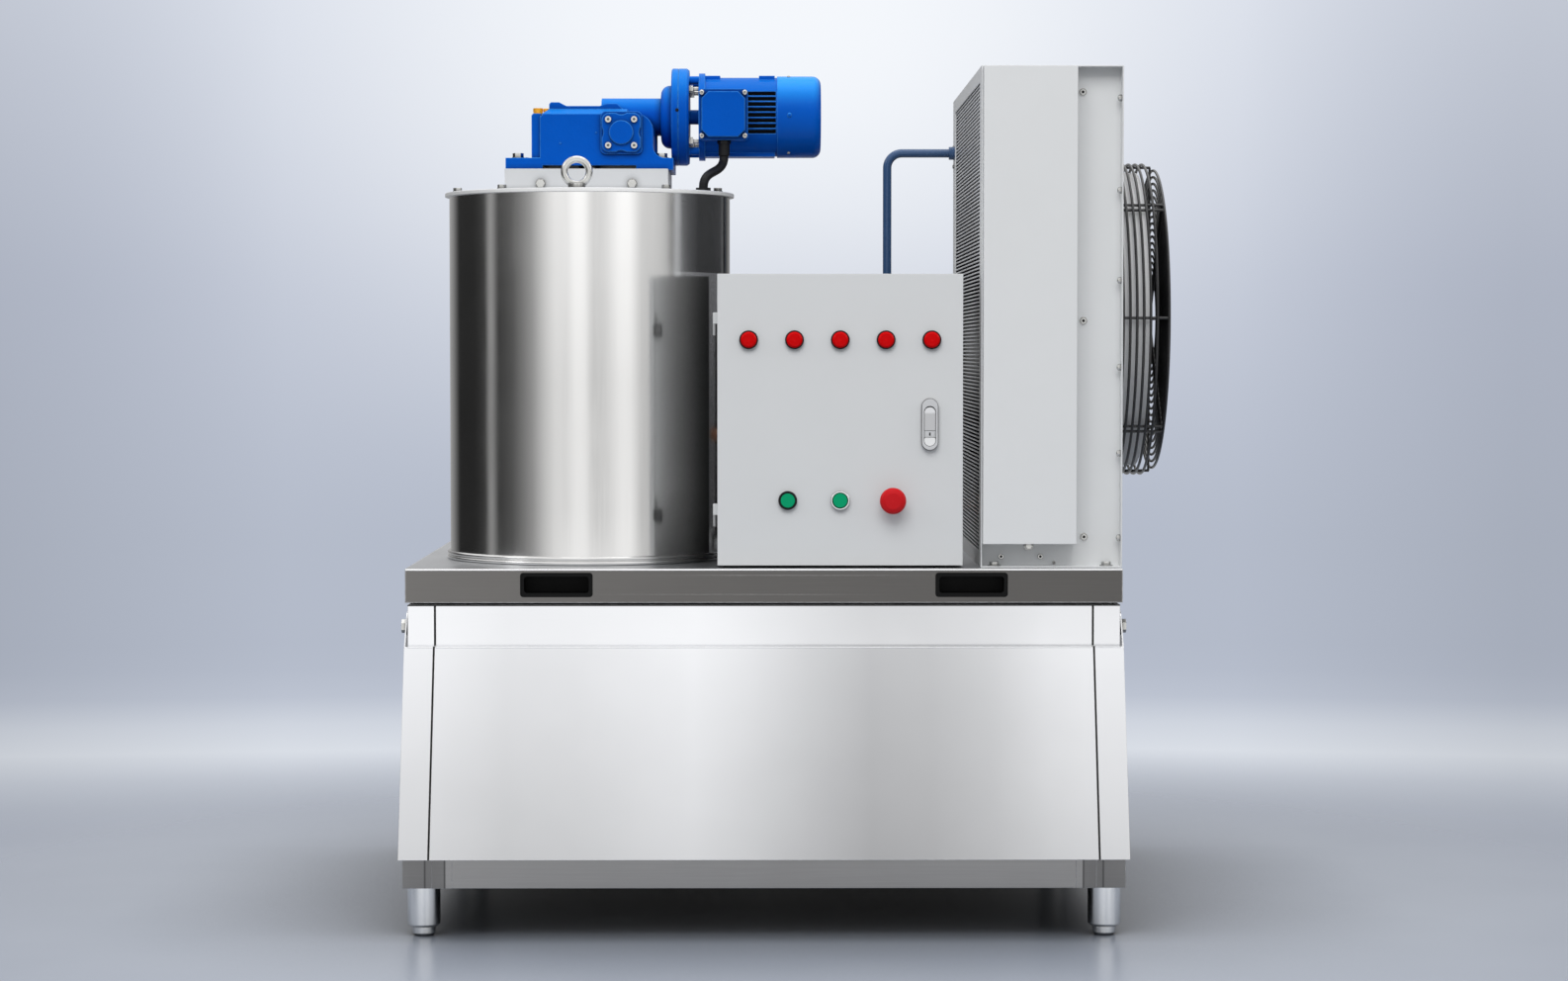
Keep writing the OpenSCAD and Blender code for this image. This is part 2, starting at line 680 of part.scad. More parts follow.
// Thin web that flares from the front of the block to the foot on the right
module gear_apron() {
    flare = 20;
    polygon(concat(
        [[body_right - 1, gear_foot_z - 1], [body_right + flare, gear_foot_z - 1]],
        arc(body_right + flare, gear_foot_z + flare, flare, 270, 180),
        [[body_right - 1, gear_foot_z + flare]]
    ));
}
// Lower end block on the left that carries the breather
module gear_step() {
    corner = 3;
    z1 = gear_top + 1;
    polygon([
        [-body_left, gear_foot_z - 1], [step_in + 1 - body_left, gear_foot_z - 1],
        [step_in + 1 - body_left, z1], [corner - body_left, z1], [-body_left, z1 - corner]
    ]);
}
module gear_roof() {
    left = gear_x - body_left + step_in + 3;
    right = gear_x + body_right - 42;
    roof_z = gear_top + roof_h;
    intersection() {
        along_x(left - 1, right) polygon([
            [gear_y0, gear_top - 1], [gear_y0, gear_top], [gear_y0 + roof_run, roof_z],
            [gear_y1 - roof_run, roof_z], [gear_y1, gear_top], [gear_y1, gear_top - 1]
        ]);
        along_y(gear_y0 - 1, gear_y1 + 1) polygon([
            [left, gear_top - 1], [left, gear_top], [left + 11, roof_z], [right + 1, roof_z],
            [right + 1, gear_top - 1]
        ]);
    }
}
// Ridge of the casting: a raised left end, a plateau and a hump that falls to the right
module gear_ridge() {
    left = body_left - step_in - 14;
    hump = 0.9 * ridge_h;
    plateau = 0.7 * ridge_h;
    polygon([
        [-left, gear_top], [-left, gear_top + ridge_h - 3], [3 - left, gear_top + ridge_h],
        [16 - left, gear_top + ridge_h], [28 - left, gear_top + plateau], [16, gear_top + plateau],
        [27, gear_top + hump], [44, gear_top + hump], [61, gear_top + 3], [61, gear_top - 1]
    ]);
}
module bearing_cover() color(blue_paint) {
    along_y(gear_y0 - cover_base_t, gear_y0) translate([cross_x, cross_z])
        round_rect(bearing_cover_w + 5, bearing_cover_w + 7, 8);
    along_y(gear_y0 - cover_t, gear_y0 - cover_base_t) translate([cross_x, cross_z]) difference() {
        round_rect(bearing_cover_w, bearing_cover_w, 11);
        for (a = [0 : 90 : 270]) rotate(a)
            translate([bearing_cover_w * 0.72, 0]) circle(bearing_cover_w * 0.26);
    }
    rod_y(gear_y0 - cover_t - 4, gear_y0 - cover_base_t, 19, cross_x, cross_z);
}
module breather_plug() color([0.92, 0.62, 0.10])
    translate([gear_x - body_left + 10, gear_y0 + 16, gear_top + 1]) {
        cylinder(r = 7.5, h = 3);
        translate([0, 0, 3]) cylinder(d = 16, h = 6, $fn = 6);
    }
// A wheel whose rim is hollowed to run round its worm
module throated_wheel(r, w, bore, centres, worm_r)
    rotate_extrude() difference() {
        translate([bore, -w / 2]) square([r - bore, w]);
        translate([centres, 0]) circle(worm_r + worm_gap);
    }
module worm_wheel() color([0.75, 0.58, 0.25]) translate([drum_x, drum_y, cross_z])
    throated_wheel(wheel_r, wheel_w, spindle_r + fit, output_centres, output_worm_r);
module cross_shaft() color(zinc) {
    rod_y(gear_y0 + end_wall + free, gear_y1 - end_wall - free, shaft_r, cross_x, cross_z);
    rod_y(drum_y - 28, drum_y + 28, output_worm_r, cross_x, cross_z);
    translate([cross_x, motor_y, cross_z]) rotate([90, 0, 0])
        throated_wheel(input_wheel_r, input_wheel_w, shaft_r - 1, input_centres, input_worm_r);
}

// Motor: adapter flange, finned frame, terminal box and fan cowl on one axis along X
adapter_len = 47;
bell_len = 18;
bell_r = 52;
bell_round = 15;
groove_at = 29;
shield_gap = 16;
shield_t = 10;
shield_r = motor_r + 7;
motor_x0 = housing_end + adapter_len + shield_gap;
motor_x1 = motor_x0 + motor_len;
rotor_r = motor_r - 26;
neck_r = 12;
lug_r = 6.5;
lug_y = 40;
lug_z = 58;
stud_y = 50;
stud_z = 43;
slot_pitch = 8.9;
slot_h = 6.8;
slot_up = 4;
slot_deep = 8;
pad_w = 52;
pad_len = 26;
pad_t = 1.5;
pad_root = 10;
box_len = 80;
box_tall = 83;
box_out = 110;
gland_x = motor_x0 + 42;
gland_out = 85;
gland_y = motor_y - gland_out;
gland_z = motor_z - box_tall / 2 - 2;
gland_h = 25;
gland_nut_h = 6;
gland_r = 9.3;
grommet_h = 6;
grommet_right = 188;
grommet_front = 92;
grommet_at = [drum_x + grommet_right, drum_y - grommet_front, lid_z1];

// A bell, then two bolted flanges with a fine groove between them
module motor_adapter() color(blue_paint) turned_x(housing_end, motor_y, motor_z) polygon(concat(
    [[motor_shaft_r + 5, 0]],
    arc(bell_r - bell_round, bell_round, bell_round, 270, 360),
    [[bell_r, bell_len], [flange_r - 2, bell_len], [flange_r, bell_len + 2], [flange_r, groove_at],
        [flange_r - 1.2, groove_at + 0.6], [flange_r, groove_at + 1.2], [flange_r, adapter_len - 4],
        [flange_r - 3, adapter_len], [motor_shaft_r + 5, adapter_len]]
));
module motor_frame() color(blue_paint) difference() {
    union() {
        turned_x(motor_x0, motor_y, motor_z) polygon([
            [motor_shaft_r + run_fit, -shield_gap], [neck_r, -shield_gap], [neck_r, 0], [shield_r, 0],
            [shield_r, shield_t], [motor_r, shield_t], [motor_r, motor_len],
            [motor_shaft_r + run_fit, motor_len], [motor_shaft_r + run_fit, motor_len - shield_t],
            [rotor_r + 1, motor_len - shield_t], [rotor_r + 1, shield_t],
            [motor_shaft_r + run_fit, shield_t]
        ]);
        for (y = [-lug_y, lug_y], z = [-lug_z, lug_z])
            rod_x(motor_x0 - shield_gap, motor_x0 + 1, lug_r, motor_y + y, motor_z + z);
        for (x = [motor_x0 + shield_t - 1, motor_x1 - pad_len - shield_t])
            slab(x, x + pad_len, motor_y - pad_w / 2, motor_y + pad_w / 2,
                motor_z + motor_r - pad_root, motor_z + motor_r + pad_t);
        slab(motor_x0 + shield_t - 1, motor_x1 - shield_t, motor_y - pad_w / 2, motor_y + pad_w / 2,
            motor_z - motor_r - pad_t, motor_z - motor_r + pad_root);
    }
    for (i = [-4 : 3], s = [-1, 1]) {
        z = (i + 0.5) * slot_pitch + slot_up;
        floor_y = sqrt(pow(motor_r, 2) - pow(z, 2)) - slot_deep;
        translate([motor_x0 + shield_t + 4, motor_y + s * (floor_y + 10) - 10, motor_z + z - slot_h / 2])
            cube([motor_len - shield_t - 12, 20, slot_h]);
    }
}
module terminal_box() color(blue_paint) difference() {
    lid_in = 5;
    lid_t = 10;
    clip = 11;
    w = box_len / 2 - lid_in;
    h = box_tall / 2 - lid_in;
    x0 = motor_x0 + 1;
    y0 = motor_y - box_out;
    union() {
        along_y(y0 + lid_t, motor_y - 40) translate([x0 + box_len / 2, motor_z - 2])
            round_rect(box_len, box_tall, 6);
        along_y(y0, y0 + lid_t) translate([x0 + box_len / 2, motor_z - 2]) polygon([
            [clip - w, -h], [w - clip, -h], [w, clip - h], [w, h - clip],
            [w - clip, h], [clip - w, h], [-w, h - clip], [-w, clip - h]
        ]);
    }
    rod_x(motor_x0 - 1, motor_x0 + shield_t + fit, shield_r + fit, motor_y, motor_z);
    rod_x(motor_x0, motor_x1, motor_r + fit, motor_y, motor_z);
}
module fan_cowl() color(blue_paint) difference() {
    wall = 2;
    length = cowl_len + 6;
    turned_x(motor_x1 - 6, motor_y, motor_z) difference() {
        cowl_outline(motor_r + fit + wall, length, 14);
        translate([0, -1]) cowl_outline(motor_r + fit, length + 1 - wall, 12);
    }
    for (row = [[8, 18], [14, 30], [20, 42]], i = [1 : row[0]])
        rod_x(motor_x1 + cowl_len - 2 * wall, motor_x1 + cowl_len + 1, 4,
            motor_y + row[1] * cos(360 * i / row[0]), motor_z + row[1] * sin(360 * i / row[0]));
}
module cowl_outline(r, length, corner) {
    square([r - corner, length]);
    square([r, length - corner]);
    translate([r - corner, length - corner]) circle(corner);
}
module motor_rotor() color(zinc) {
    rod_x(worm_end - 3, motor_x1 + 46, motor_shaft_r, motor_y, motor_z);
    rod_x(cross_x - 19, cross_x + 19, input_worm_r, motor_y, motor_z);
    rod_x(motor_x0 + shield_t + 4, motor_x1 - shield_t - 4, rotor_r, motor_y, motor_z);
    rod_x(motor_x1 + 12, motor_x1 + 16, motor_r - 9, motor_y, motor_z);
    for (a = [0 : 60 : 300]) translate([motor_x1 + 15, motor_y, motor_z]) rotate([a, 0, 0])
        translate([0, -1.5, motor_shaft_r - 2]) cube([28, 3, motor_r - motor_shaft_r - 8]);
}

// Conduit from the terminal box down to the lid, swept along one smooth curve
conduit_from = [gland_x, gland_y, gland_z - gland_h];
conduit_to = grommet_at + [0, 0, grommet_h];
conduit_pull = 34;
function mix3(a, b, c, d, t) =
    a * pow(1 - t, 3) + 3 * b * t * pow(1 - t, 2) + 3 * c * t * t * (1 - t) + d * pow(t, 3);
function conduit_point(t) = mix3(conduit_from, conduit_from - [0, 0, conduit_pull],
    conduit_to + [0, 0, conduit_pull], conduit_to, t);
conduit_rings = 14;
conduit_sides = 10;
module conduit() color(black) {
    shares = [for (i = [0 : conduit_rings]) i / conduit_rings];
    along = [for (t = shares) t == 0 || t == 1 ? [0, 0, -1] :
        unit(conduit_point(t + 0.01) - conduit_point(t - 0.01))];
    points = [for (i = [0 : conduit_rings], k = [0 : conduit_sides - 1])
        let (across = unit(cross(along[i], [0, 1, 0])), up = cross(across, along[i]))
        conduit_point(shares[i]) + conduit_dia / 2
            * (cos(360 * k / conduit_sides) * across + sin(360 * k / conduit_sides) * up)];
    n = conduit_sides;
    sides = [for (i = [0 : conduit_rings - 1], k = [0 : n - 1])
        [i * n + k, i * n + (k + 1) % n, (i + 1) * n + (k + 1) % n, (i + 1) * n + k]];
    caps = [[for (k = [n - 1 : -1 : 0]) k], [for (k = [0 : n - 1]) conduit_rings * n + k]];
    polyhedron(points, concat(sides, caps), convexity = 4);
}
module conduit_glands() color(black) {
    rod_z(gland_z - gland_h, gland_z - gland_nut_h, gland_r, gland_x, gland_y);
    translate([gland_x, gland_y, gland_z - gland_nut_h]) cylinder(r = gland_r + 2, h = gland_nut_h, $fn = 6);
    rod_z(lid_z1, lid_z1 + grommet_h, 12, grommet_at.x, grommet_at.y);
}

// Condenser: a sheet casing with a finned coil on the left and a guarded fan on the right
cond_z1 = deck_z1 + cond_h;
fan_y = cond_front + cond_d / 2;
fan_z = deck_z1 + cond_h / 2;
case_t = 2;
end_y = cond_front + front_recess;
coil_d = 62;
fin_depth = 12;
fin_t = 2.2;
fan_ring_t = 3;
fan_ring_len = 60;
guard_x = cond_x1 + guard_d;
spoke_r = 2;
spoke_x = guard_x - wire_dia - fit - spoke_r;
side_wire_r = guard_r - wire_dia - fit - wire_dia / 2;
plate_t = 3;
plate_r = 62;
plate_x = spoke_x - spoke_r - fit - plate_t;
fan_motor_len = 36;
fan_shaft_r = 8;
hub_len = 40;
hub_x = plate_x - fan_motor_len - 1 - hub_len;

module condenser_casing() color(grey_paint) difference() {
    front_stile = 18;
    rear_stile = 65;
    rail = 23;
    slab(cond_x0, cond_x1, cond_front, cond_y1, deck_z1, cond_z1);
    slab(cond_x0 + case_t, cond_x1 - case_t, end_y + case_t, cond_y1 - case_t,
        deck_z1 + case_t, cond_z1 - case_t);
    slab(cond_x0 + case_t, cond_x1 - case_t, cond_front - 1, end_y, deck_z1 + case_t, cond_z1 - case_t);
    slab(cond_x0 - 1, cond_x0 + case_t + 1, end_y + case_t + front_stile, cond_y1 - rear_stile,
        deck_z1 + rail, cond_z1 - rail);
    rod_x(cond_x1 - case_t - 1, cond_x1 + 1, fan_ring_r, fan_y, fan_z);
}
module condenser_cover() color(grey_paint) {
    x0 = cond_x0 + case_t + fit;
    z0 = deck_z1 + 38;
    z1 = cond_z1 - case_t - fit;
    y0 = cond_front - cover_out;
    difference() {
        slab(x0, x0 + cover_w, y0, end_y, z0, z1);
        slab(x0 + case_t, x0 + cover_w - case_t, y0 + case_t, end_y + 1, z0 + case_t, z1 - case_t);
    }
}
module condenser_coil() color(zinc) {
    x0 = cond_x0 + case_t + fit;
    z0 = deck_z1 + case_t + fit;
    z1 = cond_z1 - case_t - fit;
    count = floor((z1 - z0 - fin_t) / fin_pitch);
    comb = [for (i = [0 : count], p = [[fin_depth, 0], [0, 0], [0, fin_t], [fin_depth, fin_t]])
        [x0 + p[0], z0 + i * fin_pitch + p[1]]];
    along_y(end_y + case_t + fit, cond_y1 - case_t - fit)
        polygon(concat(comb, [[x0 + fin_depth, z1], [x0 + coil_d, z1], [x0 + coil_d, z0]]));
}
module fan_ring() color("white") turned_x(cond_x1, fan_y, fan_z) polygon([
    [fan_ring_r, 0], [fan_ring_r + 9, 0], [fan_ring_r + 9, 2], [fan_ring_r + fan_ring_t, 2],
    [fan_ring_r + fan_ring_t, fan_ring_len], [fan_ring_r, fan_ring_len]
]);
// Wire guard: welded rings over eight spokes that bend back to the casing
module wire_ring(x, r)
    turned_x(x, fan_y, fan_z) translate([r, 0]) circle(wire_dia / 2, $fn = 32);
module guard_spoke(angle, aside) translate([0, fan_y, fan_z]) rotate([angle, 0, 0]) {
    rod_x(cond_x1, spoke_x + spoke_r / 2, wire_dia / 2, aside, side_wire_r);
    translate([spoke_x, aside, plate_r - 20]) cylinder(r = spoke_r, h = side_wire_r - plate_r + 20);
}
module fan_guard() color(black) {
    for (x = [guard_x - 2 * ring_pitch : -ring_pitch : cond_x1 + ring_pitch])
        wire_ring(x, guard_r - wire_dia / 2);
    for (r = [plate_r + ring_pitch : ring_pitch : guard_r - wire_dia / 2])
        wire_ring(guard_x - wire_dia / 2, r);
    for (a = [0 : 90 : 270]) {
        guard_spoke(a, 0);
        for (aside = [-6, 6]) guard_spoke(a + 45, aside);
    }
    rod_x(plate_x, plate_x + plate_t, plate_r, fan_y, fan_z);
}
module fan_motor() color(black) difference() {
    rod_x(plate_x - fan_motor_len, plate_x, 48, fan_y, fan_z);
    rod_x(plate_x - fan_motor_len - 1, plate_x - fan_motor_len + 22, fan_shaft_r + run_fit, fan_y, fan_z);
}
module fan_blades() color(black) translate([hub_x, fan_y, fan_z]) rotate([0, 90, 0]) {
    blades = 5;
    pitch = 26;
    chord = 96;
    blade_t = 3;
    tip_r = fan_ring_r - 6;
    cylinder(r = plate_r - 4, h = hub_len);
    cylinder(r = fan_shaft_r, h = hub_len + 20);
    intersection() {
        translate([0, 0, -20]) cylinder(r = tip_r, h = hub_len + 20);
        for (i = [1 : blades]) rotate(i * 360 / blades) translate([40, 0, hub_len / 2])
            rotate([pitch, 0, 0]) translate([0, -chord / 2, 0]) cube([tip_r, chord, blade_t]);
    }
}

// Refrigeration and water pieces on the deck behind the control box
line_r = 6;
line_bend = 24;
suction_r = 11;
suction_bend = 40;
riser_r = 9;
riser_bend = 30;
gas_bend = 26;
port_len = 14;
port_wall = 5;
comp_r = 90;
comp_h = 400;
comp_right = 11;
comp_back = 280;
comp_at = [box_x0 + box_w / 2 + comp_right, box_y1 + comp_back, deck_z1];
gas_pipe_in = 91;
gas_pipe_front = 40;
gas_pipe_down = 94;
gas_pipe_at = [box_x1 - gas_pipe_in, cond_y1 - gas_pipe_front, cond_z1 - gas_pipe_down];
discharge_up = 320;
discharge_z = deck_z1 + discharge_up;
suction_up = 200;
suction_z = deck_z1 + suction_up;
recv_r = 60;
recv_h = 330;
recv_left = 120;
recv_at = [comp_at.x - recv_left, gas_pipe_at.y, deck_z1];
valve_r = 10;
valve_h = 20;
liquid_up = 60;
liquid_z = deck_z1 + liquid_up;
feed_up = 440;
feed_z = deck_z1 + feed_up;
feed_in = 60;
feed_x = drum_x + feed_in;
feed_y = drum_y + sqrt(pow(drum_r, 2) - pow(feed_in - line_r, 2)) + free;
tank_size = [240, 220, 230];
tank_back = 20;
tank_left = 44;
tank_at = [drum_x - tank_left, deck_d - tank_back - tank_size.y, deck_z1];
pump_r = 34;
pump_h = 60;
pump_y = tank_at.y + 40;
riser_down = 40;
riser_z = lid_z0 - riser_down;

module domed_can(r, h) {
    dome = r / 2;
    rotate_extrude() {
        square([r, h - dome]);
        square([r - dome, h]);
        translate([r - dome, h - dome]) intersection() {
            circle(dome);
            square(dome);
        }
    }
}
module hot_gas_pipe() color([0.14, 0.20, 0.33]) {
    bent_pipe([
        [comp_at.x, comp_at.y + comp_r + port_len, discharge_z],
        [comp_at.x, gas_pipe_at.y, discharge_z], [gas_pipe_at.x, gas_pipe_at.y, discharge_z],
        gas_pipe_at, [cond_x0, gas_pipe_at.y, gas_pipe_at.z]
    ], gas_pipe_dia / 2, gas_bend);
    rod_x(cond_x0 - 10, cond_x0, gas_pipe_dia / 2 + 4, gas_pipe_at.y, gas_pipe_at.z);
}
module compressor() color(black) {
    grommet_r = 16;
    grommet_t = 20;
    plate_edge = 10;
    plate = 6;
    translate(comp_at) {
        for (x = [-1, 1], y = [-1, 1])
            translate([x * (comp_r - grommet_r / 2), y * (comp_r - grommet_r / 2), 0])
                cylinder(r = grommet_r, h = grommet_t);
        translate([-comp_r - plate_edge, -comp_r - plate_edge, grommet_t])
            cube([2 * (comp_r + plate_edge), 2 * (comp_r + plate_edge), plate]);
        translate([0, 0, grommet_t + plate]) domed_can(comp_r, comp_h - grommet_t - plate);
    }
    port_end = comp_r + port_len;
    rod_y(comp_at.y, comp_at.y + port_end, gas_pipe_dia / 2 + port_wall, comp_at.x, discharge_z);
    rod_y(comp_at.y - port_end, comp_at.y, suction_r + port_wall, comp_at.x, suction_z);
}
module liquid_receiver() color(black) {
    foot_edge = 12;
    foot_t = 8;
    translate(recv_at) {
        cylinder(r = recv_r + foot_edge, h = foot_t);
        translate([0, 0, foot_t - 1]) domed_can(recv_r, recv_h - foot_t + 1);
        translate([0, 0, recv_h - valve_h / 2]) cylinder(r = valve_r, h = 1.5 * valve_h);
    }
    rod_x(recv_at.x, recv_at.x + recv_r + port_len, line_r + port_wall, recv_at.y, liquid_z);
}
module pipework() color(copper) {
    rod_x(recv_at.x + recv_r + port_len, cond_x0, line_r, recv_at.y, liquid_z);
    bent_pipe([
        recv_at + [0, 0, recv_h + valve_h], [recv_at.x, recv_at.y, feed_z],
        [feed_x, recv_at.y, feed_z], [feed_x, feed_y, feed_z]
    ], line_r, line_bend);
    bent_pipe([
        [drum_x + drum_r + free, drum_y, suction_z], [comp_at.x, drum_y, suction_z],
        [comp_at.x, comp_at.y - comp_r - port_len, suction_z]
    ], suction_r, suction_bend);
    bent_pipe([
        [drum_x, pump_y, tank_at.z + tank_size.z + pump_h], [drum_x, pump_y, riser_z],
        [drum_x, drum_y + drum_r + free, riser_z]
    ], riser_r, riser_bend);
}
module water_tank() color([0.85, 0.87, 0.88]) {
    lip = 6;
    lip_h = 12;
    translate(tank_at + [lip, lip, 0]) cube(tank_size - [2 * lip, 2 * lip, lip_h]);
    translate(tank_at + [0, 0, tank_size.z - lip_h]) cube([tank_size.x, tank_size.y, lip_h]);
    rod_z(tank_at.z + tank_size.z - 1, tank_at.z + tank_size.z + pump_h, pump_r, drum_x, pump_y);
}

// Control box on the deck, with a door on lift-off hinges
box_z0 = deck_z1 + box_foot_h;
box_z1 = box_z0 + box_h;
box_t = 2;
hinge_r = 3.5;
hinge_pin_r = 1.6;
hinge_x = box_x0 - hinge_r - free;
hinge_y = box_y0 - 1;
knuckle_h = 18;
hinge_leaf = 25;
hinge_z = [box_z0 + 60, box_z1 - 60 - 2 * knuckle_h];

module control_box() color(grey_paint) {
    pad = 30;
    difference() {
        slab(box_x0, box_x1, box_y0, box_y1, box_z0, box_z1);
        slab(box_x0 + box_t, box_x1 - box_t, box_y0 - 1, box_y1 - box_t, box_z0 + box_t, box_z1 - box_t);
    }
    for (x = [box_x0 + 10, box_x1 - 10 - pad], y = [box_y0 + 10, box_y1 - 10 - pad])
        translate([x, y, deck_z1]) cube([pad, pad, box_foot_h]);
}
module door_hinges() color(zinc) for (z = hinge_z) {
    rod_z(z, z + knuckle_h, hinge_r, hinge_x, hinge_y);
    rod_z(z, z + 2 * knuckle_h - 3, hinge_pin_r, hinge_x, hinge_y);
    slab(box_x0 - 3, box_x0, hinge_y + 1, hinge_y + 1 + hinge_leaf, z, z + knuckle_h);
}
lamp_z = box_z1 - lamp_down;
button_z = box_z0 + button_up;
box_mid = (box_x0 + box_x1) / 2;
button_pitch = 82;
function lamp_x() = [for (i = [-2 : 2]) box_mid + i * lamp_pitch];
function button_x() = [for (i = [-1 : 1]) box_mid + i * button_pitch];
latch_x = box_x1 - 52;
latch_z = box_z0 + box_h / 2 - 7;
latch_barrel_r = 10;
latch_t = 9;
recess_w = 18.8;
recess_top = 12.3;
recess_foot = 6.5;
recess_z0 = latch_z - latch_len / 2 + recess_foot;
recess_z1 = latch_z + latch_len / 2 - recess_top;
latch_button_z = recess_z0 + recess_w / 2;

module control_door() color(grey_paint) {
    difference() {
        slab(box_x0, box_x1, door_front, door_front + door_t, box_z0, box_z1);
        slab(box_x0 + box_t, box_x1 - box_t, door_front + box_t, door_front + door_t + 1,
            box_z0 + box_t, box_z1 - box_t);
        for (x = lamp_x()) door_hole(x, lamp_z, pilot_dia / 2);
        for (x = button_x()) door_hole(x, button_z, pilot_dia / 2);
        door_hole(latch_x, latch_button_z, latch_barrel_r);
    }
    for (z = hinge_z) difference() {
        union() {
            rod_z(z + knuckle_h + free, z + 2 * knuckle_h, hinge_r, hinge_x, hinge_y);
            slab(hinge_x, box_x0 + box_t / 2, hinge_y - hinge_r + 0.1, hinge_y - 1,
                z + knuckle_h + free, z + 2 * knuckle_h);
        }
        rod_z(z, z + 3 * knuckle_h, hinge_pin_r + run_fit, hinge_x, hinge_y);
    }
}
module door_hole(x, z, r) rod_y(door_front - 1, door_front + box_t + 1, r + fit, x, z);
module mounting_plate() color(zinc) {
    edge = 25;
    stand = 8;
    plate = 3;
    back = box_y1 - box_t;
    face = back - stand - plate;
    slab(box_x0 + edge, box_x1 - edge, face, back - stand, box_z0 + edge, box_z1 - edge);
    for (x = [box_x0 + edge + 12, box_x1 - edge - 12], z = [box_z0 + edge + 12, box_z1 - edge - 12])
        rod_y(back - stand - 1, back, 6, x, z);
    for (row = [0, 1]) {
        z = box_z0 + 0.33 * box_h + row * 0.34 * box_h;
        slab(box_x0 + edge + 20, box_x1 - edge - 20, face - 7, face, z - 17, z + 17);
        for (i = [0 : 4]) translate([box_x0 + edge + 34 + i * 56, face - 70, z - 38]) cube([45, 64, 76]);
    }
}

// Pilot lights and push buttons through the door
bezel_r = pilot_dia / 2 + 3.7;
bezel_h = 6;
lens_r = pilot_dia / 2 + 1.5;
cap_r = pilot_dia / 2;
button_stem_r = 6;
stop_stem_r = 8;
barrel_len = 43;
module barrel(x, z) rod_y(door_front - 0.5, door_front + barrel_len, pilot_dia / 2, x, z);
module lamp_bezel(x) difference() {
    union() {
        rod_y(door_front - bezel_h, door_front, bezel_r, x, lamp_z);
        barrel(x, lamp_z);
    }
    rod_y(door_front - bezel_h - 1, door_front - 1.5, lens_r + fit, x, lamp_z);
}
module button_bezel(x) difference() {
    union() {
        rod_y(door_front - bezel_h, door_front, bezel_r, x, button_z);
        barrel(x, button_z);
    }
    rod_y(door_front - bezel_h - 1, door_front - 0.2, cap_r + free, x, button_z);
    rod_y(door_front - 1, door_front + 26, button_stem_r + run_fit, x, button_z);
}
module stop_collar(x) difference() {
    union() {
        rod_y(door_front - bezel_h - 2, door_front, bezel_r, x, button_z);
        barrel(x, button_z);
    }
    rod_y(door_front - bezel_h - 3, door_front + 30, stop_stem_r + run_fit, x, button_z);
}
module pilot_bezels() color(black) {
    for (x = lamp_x()) lamp_bezel(x);
    for (i = [0, 1]) button_bezel(button_x()[i]);
    stop_collar(button_x()[2]);
}
module lamp_lenses() color([0.84, 0.04, 0.06]) for (x = lamp_x())
    translate([x, door_front - 1.5, lamp_z]) rotate([90, 0, 0]) rotate_extrude()
        polygon([[0, 0], [lens_r, 0], [lens_r, 6.5], [lens_r - 2.5, 8.5], [0, 9]]);
module push_button(x) {
    cap_t = 4.2;
    cap_y = door_front - 0.6 - push_travel - cap_t;
    rod_y(cap_y, cap_y + cap_t, cap_r, x, button_z);
    rod_y(cap_y + 1, door_front + 26 - free - push_travel, button_stem_r, x, button_z);
}
module start_button() color([0.04, 0.62, 0.42]) push_button(button_x()[0]);
module reset_button() color([0.04, 0.62, 0.42]) push_button(button_x()[1]);
module stop_button() color([0.84, 0.14, 0.16]) translate([button_x()[2], door_front, button_z])
    rotate([90, 0, 0]) {
        r = stop_dia / 2;
        rotate_extrude() polygon([
            [0, push_travel - 29], [stop_stem_r, push_travel - 29], [stop_stem_r, 16], [r - 3, 16],
            [r, 19], [r, 24], [r - 3, 28], [r - 8, 30], [0, 30.5]
        ]);
    }

// Latch: a pill-shaped body with a swing lever, a key block and a push button let into it
latch_floor = 2;
latch_edge = 2.5;
latch_face = door_front - latch_t;
lever_gap = 1.9;
lever_side = 0.6;
lever_t = 4.4;
lever_up = 3;
lever_back = 4.1;
lever_pin_r = 1.2;
lever_len = 36.4;
lever_r = recess_w / 2 - lever_side;
lever_top = recess_z1 - lever_gap;
lever_y = door_front - latch_floor - lever_back;
lever_z = lever_top - lever_up;
key_h = 10;
key_z1 = lever_top - lever_len - lever_side;
key_z0 = key_z1 - key_h;
latch_cap_t = 3.2;
latch_stem_r = 3.6;
latch_stem_len = 14;
latch_travel = 3;
module pill(w, h) {
    square([w, h - w], center = true);
    for (y = [-1, 1]) translate([0, y * (h - w) / 2]) circle(w / 2);
}
module latch_recess() translate([latch_x, (recess_z0 + recess_z1) / 2])
    pill(recess_w, recess_z1 - recess_z0);
module latch_body() color(steel) {
    difference() {
        union() {
            along_y(latch_face + latch_edge, door_front) translate([latch_x, latch_z])
                pill(latch_w, latch_len);
            along_y(latch_face, door_front) translate([latch_x, latch_z])
                pill(latch_w - latch_edge, latch_len - latch_edge);
            rod_y(door_front - 0.5, door_front + 18, latch_barrel_r, latch_x, latch_button_z);
        }
        along_y(latch_face - 1, door_front - latch_floor) difference() {
            latch_recess();
            translate([latch_x, (key_z0 + key_z1) / 2]) square([recess_w + 2, key_h], center = true);
        }
        along_y(latch_face - 1, latch_face + 1) latch_recess();
        slab(latch_x - 1.2, latch_x + 1.2, latch_face, latch_face + 4, key_z0 + 2.5, key_z1 - 2.5);
        rod_y(latch_face, door_front + latch_stem_len, latch_stem_r + run_fit, latch_x, latch_button_z);
    }
    rod_x(latch_x - recess_w / 2, latch_x + recess_w / 2, lever_pin_r, lever_y, lever_z);
}
